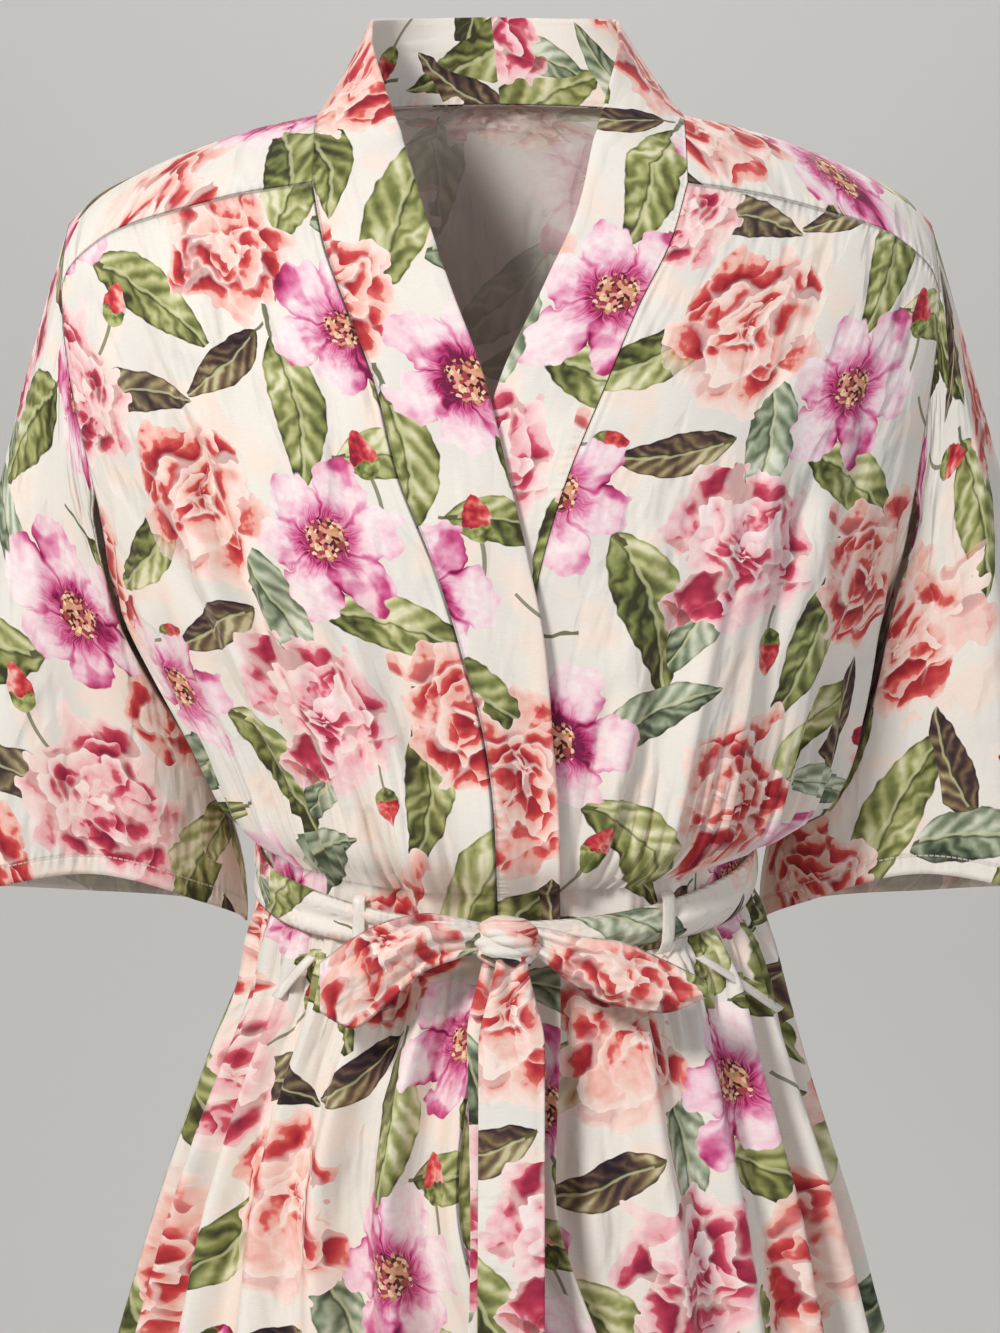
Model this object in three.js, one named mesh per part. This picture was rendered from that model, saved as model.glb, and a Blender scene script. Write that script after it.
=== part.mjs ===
import * as THREE from 'three';

// A wrap robe of thin printed jersey, worn open at the neck on a hollow form, with its own tied sash.
// Millimetres, +Z up. The front faces -Y. The origin is level with the shoulder points of the neckline,
// on the centre line, where the wearer's shoulders carry the robe.
// Left and right in this file are the viewer's, looking at the front, unless a name says otherwise.

// Cloth
const CLOTH_WALL = 2.0;
const BAND_WALL = 3.0;
const SASH_WALL = 2.4;
const TAPE_WALL = 1.2;
const SEAM_GAP = 0.3;

// Squareness of the body's sections: 2 is an ellipse
const SECTION_POWER = 2.3;

// Gathers: waves on each piece of the skirt, with four grid columns to a wave
const COLUMNS_PER_WAVE = 4;
const FRONT_WAVES = 7;
const BACK_WAVES = 13;

// The body in levels, top down. height is the level at the side seam; left and right are half widths,
// front and back are depths, dip is how far the level sinks at the centre front, fold is the height of
// the gathers and arm is the share of the half width at which the armhole lies.
const BODY_LEVELS = [
  { height: 0, left: 264, right: 264, front: 48, back: 50, dip: 0, fold: 0, arm: 0.9 },
  { height: -57, left: 262, right: 262, front: 74, back: 70, dip: 0, fold: 0, arm: 0.9 },
  { height: -110, left: 257, right: 258, front: 97, back: 85, dip: 0, fold: 0, arm: 0.905 },
  { height: -170, left: 242, right: 244, front: 113, back: 94, dip: 0, fold: 0, arm: 0.93 },
  { height: -230, left: 221, right: 227, front: 119, back: 99, dip: 0, fold: 0.6, arm: 0.96 },
  { height: -285, left: 203, right: 208, front: 120, back: 101, dip: 0, fold: 1.4, arm: 1 },
  { height: -318, left: 185, right: 200, front: 118, back: 100, dip: 4, fold: 2.2, arm: 1 },
  { height: -348, left: 166, right: 191, front: 116, back: 99, dip: 9, fold: 3, arm: 1 },
  { height: -372, left: 152, right: 180, front: 115, back: 99, dip: 16, fold: 3.8, arm: 1 },
  { height: -384, left: 144, right: 170, front: 115, back: 100, dip: 22, fold: 4.2, arm: 1 },
  { height: -391, left: 136, right: 155, front: 111, back: 98, dip: 27, fold: 3.6, arm: 1 },
  { height: -396, left: 128, right: 135, front: 96, back: 89, dip: 31, fold: 2.3, arm: 1 },
  { height: -412, left: 127, right: 134, front: 95, back: 88, dip: 37, fold: 2.2, arm: 1 },
  { height: -428, left: 128, right: 135, front: 96, back: 89, dip: 36, fold: 2.4, arm: 1 },
  { height: -437, left: 129, right: 138, front: 101, back: 93, dip: 33, fold: 4, arm: 1 },
  { height: -462, left: 131, right: 144, front: 108, back: 100, dip: 24, fold: 6, arm: 1 },
  { height: -520, left: 150, right: 157, front: 122, back: 114, dip: 9, fold: 8.5, arm: 1 },
  { height: -610, left: 179, right: 183, front: 141, back: 133, dip: 1, fold: 10.5, arm: 1 },
  { height: -730, left: 210, right: 211, front: 158, back: 150, dip: 0, fold: 11.5, arm: 1 },
  { height: -905, left: 232, right: 232, front: 172, back: 165, dip: 0, fold: 12.5, arm: 1 },
];
const BACK_RISE = 0.27;

// Grid rows of the fronts: the height at the band seam and at the armhole or side seam
const FRONT_ROWS = [
  { inner: -57, outer: -110 },
  { inner: -88, outer: -140 },
  { inner: -125, outer: -176 },
  { inner: -168, outer: -212 },
  { inner: -212, outer: -248 },
  { inner: -255, outer: -285 },
  { inner: -300, outer: -318 },
  { inner: -340, outer: -348 },
  { inner: -370, outer: -372 },
  { inner: -384, outer: -384 },
  { inner: -391, outer: -391 },
  { inner: -396, outer: -396 },
  { inner: -412, outer: -412 },
  { inner: -428, outer: -428 },
  { inner: -437, outer: -437 },
  { inner: -462, outer: -462 },
  { inner: -520, outer: -520 },
  { inner: -610, outer: -610 },
  { inner: -730, outer: -730 },
  { inner: -905, outer: -905 },
];
const UNDERARM_ROW = 5;
const SEAM_BEND_ROWS = 3;

// The back's rows from the level where its yoke ends, and the yoke's rows over the shoulder
const YOKE_LEVEL = -170;
const BACK_ROWS = [-170, -212, -248, -285, -318, -348, -372, -384, -391, -396, -412, -428, -437, -462, -520,
  -610, -730, -905];
const YOKE_FRONT_ROWS = 2;
const YOKE_BACK_ROWS = 4;
const NECK_COLUMNS = 14;

// The forward shoulder seam and the top of the shoulder, by distance from the centre line
const SHOULDER = [
  { x: 98, seam: -57, ridge: -10 },
  { x: 133, seam: -62, ridge: -18 },
  { x: 171, seam: -71, ridge: -31 },
  { x: 202, seam: -80, ridge: -45 },
  { x: 217, seam: -89, ridge: -53 },
  { x: 228, seam: -99, ridge: -63 },
  { x: 233, seam: -110, ridge: -68 },
];
const SHOULDER_TIP = SHOULDER[SHOULDER.length - 1];
const RIDGE_Y = -5;
const FORWARD_SEAM_GAP = { neck: 0.7, arm: 3.2 };

// The back neckline, from the shoulder point to the centre back, by share of its half length
const NECKLINE = [
  { share: 0, x: 98, y: -5, z: -10 },
  { share: 0.25, x: 90, y: 18, z: -3 },
  { share: 0.5, x: 70, y: 39, z: 3 },
  { share: 0.75, x: 38, y: 53, z: 7 },
  { share: 1, x: 0, y: 58, z: 9 },
];

// The bands: the seam and the free edge across the fronts, by height. Each band is about 54 wide, and
// narrower where it is gathered in at the waist. freeHeight is the level at the free edge.
const TOP_BAND = [
  { height: -57, freeHeight: -33, seam: -98, free: -52 },
  { height: -88, freeHeight: -70, seam: -92, free: -41 },
  { height: -125, freeHeight: -113, seam: -79, free: -27 },
  { height: -168, freeHeight: -163, seam: -63, free: -9 },
  { height: -212, freeHeight: -212, seam: -52, free: 3 },
  { height: -255, freeHeight: -255, seam: -35, free: 13 },
  { height: -300, freeHeight: -300, seam: -20, free: 22 },
  { height: -340, freeHeight: -340, seam: -8, free: 26 },
  { height: -372, freeHeight: -372, seam: -3, free: 29 },
  { height: -412, freeHeight: -412, seam: -1, free: 30 },
  { height: -462, freeHeight: -462, seam: -8, free: 30 },
  { height: -572, freeHeight: -572, seam: -20, free: 27 },
  { height: -674, freeHeight: -674, seam: 4, free: 57 },
  { height: -905, freeHeight: -905, seam: 36, free: 90 },
];
const UNDER_BAND = [
  { height: -57, freeHeight: -33, seam: 98, free: 50 },
  { height: -88, freeHeight: -70, seam: 89, free: 42 },
  { height: -125, freeHeight: -113, seam: 71, free: 24 },
  { height: -168, freeHeight: -163, seam: 53, free: 1 },
  { height: -212, freeHeight: -212, seam: 35, free: -13 },
  { height: -255, freeHeight: -255, seam: 22, free: -24 },
  { height: -300, freeHeight: -300, seam: 12, free: -30 },
  { height: -340, freeHeight: -340, seam: 6, free: -34 },
  { height: -372, freeHeight: -372, seam: 3, free: -36 },
  { height: -412, freeHeight: -412, seam: 1, free: -36 },
  { height: -462, freeHeight: -462, seam: 0, free: -42 },
  { height: -572, freeHeight: -572, seam: -4, free: -54 },
  { height: -674, freeHeight: -674, seam: -10, free: -64 },
  { height: -905, freeHeight: -905, seam: -30, free: -84 },
];

// The free edge of the bands round the neck, by grid row from the centre back to the forward seam,
// and how far each row's seam stands in from the neckline so that the thick band clears the panel
const NECK_BAND = [
  { row: 0, x: 0, y: 70, z: 60, inset: 2.2 },
  { row: 1.75, x: 32, y: 64, z: 58, inset: 2.2 },
  { row: 3.5, x: 56, y: 47, z: 54, inset: 2.1 },
  { row: 5.25, x: 68, y: 20, z: 47, inset: 2 },
  { row: 7, x: 68, y: -13, z: 30, inset: 1.8 },
  { row: 8, x: 60, y: -42, z: -3, inset: 1.2 },
  { row: 9, x: 51, y: -66, z: -33, inset: 0.3 },
];
const NECK_SHIFT = -5;
const NECK_SEAM_GAP = 0.5;
const HALF_ROW = 0.5;

// How far the under layers lie inside the folds of the top ones, over what width they come up to the
// surface beside the top band's free edge, and between what heights the bands cross
const LAYER_STEP = 4.8;
const LAYER_EDGE = 4;
const LAYER_BLEND = 34;
const CROSSING = { top: -125, bottom: -168 };

// Long folds that run from the shoulders and sides to the knot: ends and the sideways bow of each
const BODICE_FOLDS = [
  { half: 'front', x0: -214, z0: -120, x1: -56, z1: -395, bow: -14, depth: 6, width: 13 },
  { half: 'front', x0: -140, z0: -225, x1: -45, z1: -395, bow: -8, depth: 5, width: 11 },
  { half: 'front', x0: -112, z0: -250, x1: -36, z1: -392, bow: -6, depth: -5, width: 10 },
  { half: 'front', x0: 168, z0: -205, x1: 108, z1: -385, bow: 4, depth: 6, width: 13 },
  { half: 'front', x0: 90, z0: -290, x1: 46, z1: -395, bow: 4, depth: 5, width: 11 },
  { half: 'front', x0: 205, z0: -250, x1: 140, z1: -385, bow: 8, depth: -5, width: 12 },
  { half: 'back', x0: -190, z0: -215, x1: -70, z1: -390, bow: -12, depth: 6, width: 14 },
  { half: 'back', x0: 185, z0: -225, x1: 78, z1: -390, bow: 12, depth: 6, width: 14 },
  { half: 'back', x0: -95, z0: -265, x1: -30, z1: -392, bow: -5, depth: 5, width: 12 },
  { half: 'back', x0: 80, z0: -255, x1: 22, z1: -392, bow: 5, depth: 5, width: 12 },
];
const FOLD_END_SOFTNESS = 0.7;

// Sleeves: the cuff's middle and half sizes. The inner side hangs behind the body's widest line and
// rests against the bodice and sash, a little clear of them.
const SLEEVES = [
  { name: 'sleeve_viewer_left', side: -1, middle: 226, halfWidth: 83, halfDepth: 54 },
  { name: 'sleeve_viewer_right', side: 1, middle: 230, halfWidth: 83, halfDepth: 54 },
];
const SLEEVE_CLEAR = 4.6;
const SLEEVE_CLEAR_BELOW = -225;
const SASH_CLEAR = 6.5;
const CUFF_Y = { inner: 46, outer: 10 };
const CUFF_HEIGHT = -437;
const CUFF_WAVES = [
  { share: 0, drop: 16 },
  { share: 0.12, drop: 2 },
  { share: 0.25, drop: -15 },
  { share: 0.38, drop: -5 },
  { share: 0.5, drop: -5 },
  { share: 0.75, drop: 2 },
  { share: 1, drop: 16 },
];
const SLEEVE_ROWS = 11;
const SLEEVE_FOLD = 5;
const SLEEVE_WAVES = 6;
const UNDERARM_STEP = 4.2;
const UNDERARM_NARROWNESS = 6;
const SHOULDER_STEP = { out: 1.8, down: 0.6 };
const CUFF_ROUNDNESS = 0.9;
const SASH_CLEAR_BLEND = 6;

// How the sleeve leaves the armhole and comes down to the cuff, on its outer and its inner side
const SLEEVE_LEAVE = { outer: { out: 30, back: 0, down: -95 }, inner: { out: -8, back: 16, down: -38 } };
const SLEEVE_ARRIVE = { outer: { out: -6, up: 110 }, inner: { out: -4, up: 78 } };

// Sash
const WAIST = -412;
const SASH_OUT = 6.2;
const SASH_HALF_HEIGHT = { side: 14, front: 8 };
const SASH_COLUMNS = 56;
const SASH_END_X = 3;
const KNOT = { x: 4, y: -117.8, z: -450, width: 30, depth: 29.6, height: 26 };
const LOOP_LEFT = [
  { x: -11.5, top: -440, bottom: -455 },
  { x: -37, top: -435, bottom: -463 },
  { x: -56, top: -438, bottom: -479 },
  { x: -74, top: -447, bottom: -492 },
  { x: -90, top: -459, bottom: -484 },
];
const LOOP_RIGHT = [
  { x: 19.5, top: -443, bottom: -458 },
  { x: 42, top: -447, bottom: -474 },
  { x: 60, top: -449, bottom: -481 },
  { x: 82, top: -458, bottom: -484 },
  { x: 104, top: -469, bottom: -476 },
];
const LOOP_DEPTH = 9;
const LOOP_Y = { root: -118, out: -129 };
const LOOP_PINCH = 0.45;
const LOOP_OPENING = 3;
const LOOP_FORWARD = 2.5;
const LOOP_END_ROUNDNESS = 6;
const TAILS = [
  { name: 'sash_tail_front', top: -463.2, bottom: -778, x0: 6, x1: 4, halfWidth: 16.5, rootY: -121.5, out: 11 },
  { name: 'sash_tail_behind', top: -463.2, bottom: -742, x0: 0, x1: -4, halfWidth: 14, rootY: -115, out: 5.5 },
];
const TAIL_ROWS = 12;
const TAIL_LEAN_ROWS = 2;

// Narrow straps that hold the sash to the body, and the pale edges of the pocket openings
const STRAPS = [
  { name: 'belt_loop_viewer_left', x: -70, halfWidth: 3 },
  { name: 'belt_loop_viewer_right', x: 83, halfWidth: 3 },
];
const STRAP_PATH = [
  { height: -400, out: 5.2 },
  { height: -402.5, out: 8.6 },
  { height: -412, out: 8.6 },
  { height: -421.5, out: 8.6 },
  { height: -429, out: 5.6 },
];
const POCKET_EDGES = [
  { name: 'pocket_edge_viewer_left', x0: -94, x1: -110, height0: -437, height1: -470 },
  { name: 'pocket_edge_viewer_right', x0: 100, x1: 140, height0: -437, height1: -486 },
];
const POCKET_EDGE_HALF_WIDTH = 2.2;
const POCKET_EDGE_ROWS = 6;
const POCKET_EDGE_CLEAR = 0.9;

const COLOURS = { print: 0xe6dccb, printShade: 0xddd0bd, tape: 0xf4f1ea };

const lerp = THREE.MathUtils.lerp;
const clamp = THREE.MathUtils.clamp;
const smooth = (t) => THREE.MathUtils.smoothstep(t, 0, 1);
const signedPower = (value, power) => Math.sign(value) * Math.abs(value) ** power;

// Value of a named column of a table at a key, with smooth slopes between the rows that never overshoot
function readTable(table, key, at, column) {
  const down = table[0][key] > table[table.length - 1][key];
  const rows = down ? table : [...table].reverse();
  let index = 0;
  while (index < rows.length - 2 && at < rows[index + 1][key]) index += 1;
  const slope = (i) => (rows[i + 1][column] - rows[i][column]) / (rows[i + 1][key] - rows[i][key]);
  const here = slope(index);
  const bend = (i, j) => (i < 0 || j > rows.length - 2 ? here
    : (slope(i) * slope(j) <= 0 ? 0 : (2 * slope(i) * slope(j)) / (slope(i) + slope(j))));
  const step = rows[index + 1][key] - rows[index][key];
  const t = (at - rows[index][key]) / step;
  const startSlope = bend(index - 1, index) * step;
  const endSlope = bend(index, index + 1) * step;
  const a = rows[index][column];
  const b = rows[index + 1][column];
  if (t < 0) return a + startSlope * t;
  if (t > 1) return b + endSlope * (t - 1);
  return (2 * t ** 3 - 3 * t ** 2 + 1) * a + (t ** 3 - 2 * t ** 2 + t) * startSlope
    + (3 * t ** 2 - 2 * t ** 3) * b + (t ** 3 - t ** 2) * endSlope;
}

const bodyAt = (height, column) => readTable(BODY_LEVELS, 'height', height, column);

// Turn round the body, from -1 at the left side seam through 0 at the centre to 1 at the right one
function turnAt(x, height) {
  const width = bodyAt(height, x < 0 ? 'left' : 'right');
  const share = clamp(Math.abs(x) / width, 0, 1);
  return Math.sign(x) * Math.asin(share ** (SECTION_POWER / 2)) / (Math.PI / 2);
}

// How far a long fold lifts the cloth at a place on one half of the bodice
function foldLift(half, x, z) {
  let lift = 0;
  for (const fold of BODICE_FOLDS) {
    if (fold.half !== half) continue;
    const t = (fold.z0 - z) / (fold.z0 - fold.z1);
    if (t <= 0 || t >= 1) continue;
    const line = lerp(fold.x0, fold.x1, t) + fold.bow * Math.sin(Math.PI * t);
    const across = Math.exp(-(((x - line) / fold.width) ** 2));
    lift += fold.depth * across * Math.sin(Math.PI * t) ** FOLD_END_SOFTNESS;
  }
  return lift;
}

// A point of the body's surface at a turn and height, moved outwards
function bodyPoint(half, turn, height, out = 0) {
  const angle = turn * Math.PI / 2;
  const sine = Math.sin(angle);
  const cosine = Math.cos(angle);
  const facing = half === 'front' ? -1 : 1;
  const width = bodyAt(height, turn < 0 ? 'left' : 'right');
  const depth = bodyAt(height, half);
  const x = width * signedPower(sine, 2 / SECTION_POWER);
  const y = facing * depth * signedPower(cosine, 2 / SECTION_POWER);
  const z = height - bodyAt(height, 'dip') * (half === 'front' ? 1 : -BACK_RISE) * cosine;
  const normal = new THREE.Vector2(sine * depth, facing * cosine * width).normalize();
  const lift = out + foldLift(half, x, height);
  return new THREE.Vector3(x + normal.x * lift, y + normal.y * lift, z);
}

const gather = (share, waves) => Math.cos(2 * Math.PI * waves * share);

// A closed wall round a surface: its points moved out and in by half the wall along their normals.
// pointAt takes a column and a row and may be asked one step past the sides; isCloth leaves cells out.
function clothWall(pointAt, columns, rows, wall, isCloth = () => true, closed = false) {
  const middles = [];
  const normals = [];
  const columnCount = closed ? columns : columns + 1;
  for (let row = 0; row <= rows; row += 1) {
    for (let column = 0; column < columnCount; column += 1) {
      middles.push(pointAt(column, row));
      const across = pointAt(column + 1, row).sub(pointAt(column - 1, row));
      const below = pointAt(column, Math.min(row + 1, rows));
      const along = below.sub(pointAt(column, Math.max(row - 1, 0)));
      normals.push(along.cross(across).normalize());
    }
  }
  const count = middles.length;
  const positions = new Float32Array(count * 6);
  middles.forEach((middle, index) => {
    middle.clone().addScaledVector(normals[index], wall / 2).toArray(positions, index * 3);
    middle.clone().addScaledVector(normals[index], -wall / 2).toArray(positions, (count + index) * 3);
  });
  const at = (column, row) => row * columnCount + (closed ? (column + columns) % columns : column);
  const faces = [];
  const quad = (a, b, c, d) => faces.push(a, b, c, a, c, d);
  const here = (column, row) => {
    const inside = row >= 0 && row < rows && (closed || (column >= 0 && column < columns));
    return inside && isCloth(closed ? (column + columns) % columns : column, row);
  };
  for (let row = 0; row < rows; row += 1) {
    for (let column = 0; column < columns; column += 1) {
      if (!here(column, row)) continue;
      const [a, b, c, d] = [at(column, row), at(column, row + 1), at(column + 1, row + 1), at(column + 1, row)];
      quad(a, b, c, d);
      quad(count + a, count + d, count + c, count + b);
      if (!here(column, row - 1)) quad(a, d, count + d, count + a);
      if (!here(column, row + 1)) quad(c, b, count + b, count + c);
      if (!here(column - 1, row)) quad(b, a, count + a, count + b);
      if (!here(column + 1, row)) quad(d, c, count + c, count + d);
    }
  }
  return closedGeometry(positions, faces);
}

// A geometry without unused points, with its faces turned outwards
function closedGeometry(positions, faces) {
  const used = new Map();
  const kept = [];
  for (const index of faces) {
    if (!used.has(index)) {
      used.set(index, kept.length / 3);
      kept.push(positions[index * 3], positions[index * 3 + 1], positions[index * 3 + 2]);
    }
  }
  const indices = faces.map((index) => used.get(index));
  let volume = 0;
  const corner = (index) => new THREE.Vector3().fromArray(kept, index * 3);
  for (let i = 0; i < indices.length; i += 3) {
    volume += corner(indices[i]).dot(corner(indices[i + 1]).cross(corner(indices[i + 2])));
  }
  if (volume < 0) {
    for (let i = 0; i < indices.length; i += 3) {
      [indices[i + 1], indices[i + 2]] = [indices[i + 2], indices[i + 1]];
    }
  }
  const geometry = new THREE.BufferGeometry();
  geometry.setAttribute('position', new THREE.Float32BufferAttribute(kept, 3));
  geometry.setIndex(indices);
  geometry.computeVertexNormals();
  return geometry;
}

function materialFor(name, colour) {
  return new THREE.MeshStandardMaterial({ name, color: colour, roughness: 0.85, metalness: 0 });
}

function addPiece(group, name, geometry, material) {
  const mesh = new THREE.Mesh(geometry, material);
  mesh.name = name;
  group.add(mesh);
}

// A row table read between its rows
function betweenRows(rows, row, read) {
  const low = clamp(Math.floor(row), 0, rows.length - 2);
  return lerp(read(rows[low]), read(rows[low + 1]), row - low);
}

// The share by which a place lies under the top band and front: 1 under them, 0 well beside them
function underShare(x, height) {
  const edge = readTable(TOP_BAND, 'freeHeight', Math.min(height, CROSSING.top), 'free');
  const crossed = smooth((CROSSING.top - height) / (CROSSING.top - CROSSING.bottom));
  return crossed * (1 - smooth((x - edge - LAYER_EDGE) / LAYER_BLEND));
}

// The lift of the under front: its own gathers beside the top band, and flat inside the folds beneath it
function underLift(x, height, wave) {
  const under = underShare(x, height);
  const fold = bodyAt(height, 'fold');
  return fold * wave * (1 - under) - (fold + LAYER_STEP) * under;
}

// How far the forward shoulder seam lies above a straight line between its ends
function seamBend(x, share) {
  const reach = clamp(Math.abs(x), SHOULDER[0].x, SHOULDER_TIP.x);
  const straight = lerp(SHOULDER[0].seam, SHOULDER_TIP.seam, clamp(share, 0, 1));
  return readTable(SHOULDER, 'x', reach, 'seam') - straight;
}

// A front panel: from its band seam to the armhole and side seam
function frontPoint(side, column, row) {
  const columns = FRONT_WAVES * COLUMNS_PER_WAVE;
  const bands = side < 0 ? TOP_BAND : UNDER_BAND;
  const inner = betweenRows(FRONT_ROWS, row, (entry) => entry.inner);
  const outer = betweenRows(FRONT_ROWS, row, (entry) => entry.outer);
  const share = column / columns;
  const widthName = side < 0 ? 'left' : 'right';
  const seamX = readTable(bands, 'height', inner, 'seam') + side * SEAM_GAP / 2;
  const sideWidth = bodyAt(outer, widthName);
  const sideX = side * Math.min(bodyAt(outer, 'arm'), 1) * sideWidth;
  const turn = lerp(turnAt(seamX, inner), side * Math.abs(turnAt(sideX, outer)), share);
  const trim = row >= UNDERARM_ROW ? side * (SEAM_GAP / 2) / sideWidth * clamp(share, 0, 1) : 0;
  const wave = gather(share, FRONT_WAVES);
  const level = lerp(inner, outer, clamp(share, 0, 1));
  const x = bodyPoint('front', turn, level).x;
  const height = level + seamBend(x, share) * (1 - smooth(row / SEAM_BEND_ROWS));
  const lift = side < 0 ? bodyAt(height, 'fold') * wave : underLift(x, height, wave);
  return bodyPoint('front', turn - trim, height, lift);
}

// The back panel. Its first rows come over the shoulders to the forward seams; the neck cut-out is
// left out of them.
const BACK_COLUMNS = BACK_WAVES * COLUMNS_PER_WAVE;
const YOKE_ROWS = YOKE_FRONT_ROWS + YOKE_BACK_ROWS;

function backTurn(column, height) {
  const share = column / BACK_COLUMNS * 2 - 1;
  const side = share < 0 ? 'left' : 'right';
  const edge = bodyAt(height, 'arm') * bodyAt(height, side);
  const sign = share < 0 ? -1 : 1;
  return share * Math.abs(turnAt(sign * edge, height));
}

function shoulderShare(column) {
  const fromCentre = Math.abs(column - BACK_COLUMNS / 2);
  return (fromCentre - NECK_COLUMNS / 2) / (BACK_COLUMNS / 2 - NECK_COLUMNS / 2);
}

function neckPoint(column) {
  const share = 1 - Math.abs(column - BACK_COLUMNS / 2) / (NECK_COLUMNS / 2);
  const read = (name) => readTable(NECKLINE, 'share', share, name);
  const side = column < BACK_COLUMNS / 2 ? -1 : 1;
  return new THREE.Vector3(side * read('x'), read('y'), read('z'));
}

function yokePoint(column, row) {
  const side = column < BACK_COLUMNS / 2 ? -1 : 1;
  const share = shoulderShare(column);
  const foot = bodyPoint('back', backTurn(column, YOKE_LEVEL), YOKE_LEVEL);
  if (row >= YOKE_FRONT_ROWS) {
    const angle = ((row - YOKE_FRONT_ROWS) / YOKE_BACK_ROWS) * Math.PI / 2;
    const reach = share < 0 ? null : lerp(SHOULDER[0].x, SHOULDER_TIP.x, share);
    const top = share < 0 ? neckPoint(column)
      : new THREE.Vector3(side * reach, RIDGE_Y, readTable(SHOULDER, 'x', reach, 'ridge'));
    const drop = Math.sin(angle);
    return new THREE.Vector3(lerp(top.x, foot.x, drop ** 2), lerp(top.y, foot.y, drop),
      lerp(top.z, YOKE_LEVEL, 1 - Math.cos(angle)));
  }
  const reach = lerp(SHOULDER[0].x, SHOULDER_TIP.x, Math.max(share, 0));
  const seamZ = readTable(SHOULDER, 'x', reach, 'seam');
  const ridgeZ = readTable(SHOULDER, 'x', reach, 'ridge');
  const seamAngle = Math.asin((seamZ - YOKE_LEVEL) / (ridgeZ - YOKE_LEVEL));
  const seamY = bodyPoint('front', turnAt(side * reach, seamZ), seamZ).y;
  const depth = (RIDGE_Y - seamY) / Math.cos(seamAngle);
  const gap = lerp(FORWARD_SEAM_GAP.neck, FORWARD_SEAM_GAP.arm, smooth(share * 2 - 1));
  const start = seamAngle + gap / (ridgeZ - YOKE_LEVEL);
  const angle = lerp(start, Math.PI / 2, row / YOKE_FRONT_ROWS);
  return new THREE.Vector3(side * reach, RIDGE_Y - depth * Math.cos(angle),
    YOKE_LEVEL + (ridgeZ - YOKE_LEVEL) * Math.sin(angle));
}

function backPoint(column, row) {
  if (row < YOKE_ROWS) return yokePoint(column, row);
  const height = betweenRows(BACK_ROWS, row - YOKE_ROWS, (entry) => entry);
  const share = column / BACK_COLUMNS;
  const lift = bodyAt(height, 'fold') * gather(share, BACK_WAVES);
  const trim = 1 - SEAM_GAP / 2 / bodyAt(height, 'left');
  return bodyPoint('back', backTurn(column, height) * trim, height, lift);
}

function buildFronts(group, material) {
  const columns = FRONT_WAVES * COLUMNS_PER_WAVE;
  const rows = FRONT_ROWS.length - 1;
  for (const [name, side] of [['front_wearer_right', -1], ['front_wearer_left', 1]]) {
    const geometry = clothWall((column, row) => frontPoint(side, column, row), columns, rows, CLOTH_WALL);
    addPiece(group, name, geometry, material);
  }
}

function buildBack(group, material) {
  const rows = YOKE_ROWS + BACK_ROWS.length - 1;
  const neckStart = (BACK_COLUMNS - NECK_COLUMNS) / 2;
  const isCloth = (column, row) => row >= YOKE_FRONT_ROWS || column < neckStart
    || column >= neckStart + NECK_COLUMNS;
  addPiece(group, 'back', clothWall(backPoint, BACK_COLUMNS, rows, CLOTH_WALL, isCloth), material);
}

// A band: from the centre back round the neck to the forward shoulder seam, and down a front
const BAND_COLUMNS = 4;
const BAND_WAVE = 0.75;
const NECK_ROWS = NECK_COLUMNS / 2 + YOKE_FRONT_ROWS;

// The panels' edge that the band is sewn to round the neck, and the level direction into the neck
function necklineEdge(side, row) {
  const centre = BACK_COLUMNS / 2;
  const corner = NECK_COLUMNS / 2;
  if (row <= corner) return neckPoint(centre + side * Math.max(row, Number.EPSILON * centre));
  return yokePoint(centre + side * corner, YOKE_FRONT_ROWS - (row - corner));
}

function bandPoint(side, column, row) {
  const share = column / BAND_COLUMNS;
  if (row < NECK_ROWS) {
    const read = (name) => readTable(NECK_BAND, 'row', row, name);
    const seam = necklineEdge(side, row);
    const ahead = necklineEdge(side, Math.min(row + HALF_ROW, NECK_ROWS));
    const along = ahead.sub(necklineEdge(side, Math.max(row - HALF_ROW, 0)));
    const inward = new THREE.Vector3(-side * Math.abs(along.y), -Math.abs(along.x), 0).normalize();
    seam.addScaledVector(inward, read('inset'));
    const shift = NECK_SHIFT * Math.sqrt(1 - row / NECK_ROWS);
    const free = new THREE.Vector3(side * read('x') + shift, read('y'), read('z'));
    const point = seam.lerp(free, share);
    point.x += side * NECK_SEAM_GAP * Math.max(1 - row, 0);
    return point;
  }
  const bands = side < 0 ? TOP_BAND : UNDER_BAND;
  const inner = betweenRows(FRONT_ROWS, row - NECK_ROWS, (entry) => entry.inner);
  const height = lerp(inner, readTable(bands, 'height', inner, 'freeHeight'), share);
  const seamX = readTable(bands, 'height', inner, 'seam') - side * SEAM_GAP / 2;
  const x = lerp(seamX, readTable(bands, 'height', inner, 'free'), share);
  const wave = gather(share * BAND_WAVE, 1);
  const lift = side < 0 ? bodyAt(height, 'fold') * wave : underLift(x, height, wave);
  return bodyPoint('front', turnAt(x, height), height, lift);
}

function buildBands(group, material) {
  const rows = NECK_ROWS + FRONT_ROWS.length - 1;
  for (const [name, side] of [['band_wearer_right', -1], ['band_wearer_left', 1]]) {
    const geometry = clothWall((column, row) => bandPoint(side, column, row), BAND_COLUMNS, rows, BAND_WALL);
    addPiece(group, name, geometry, material);
  }
}

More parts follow.
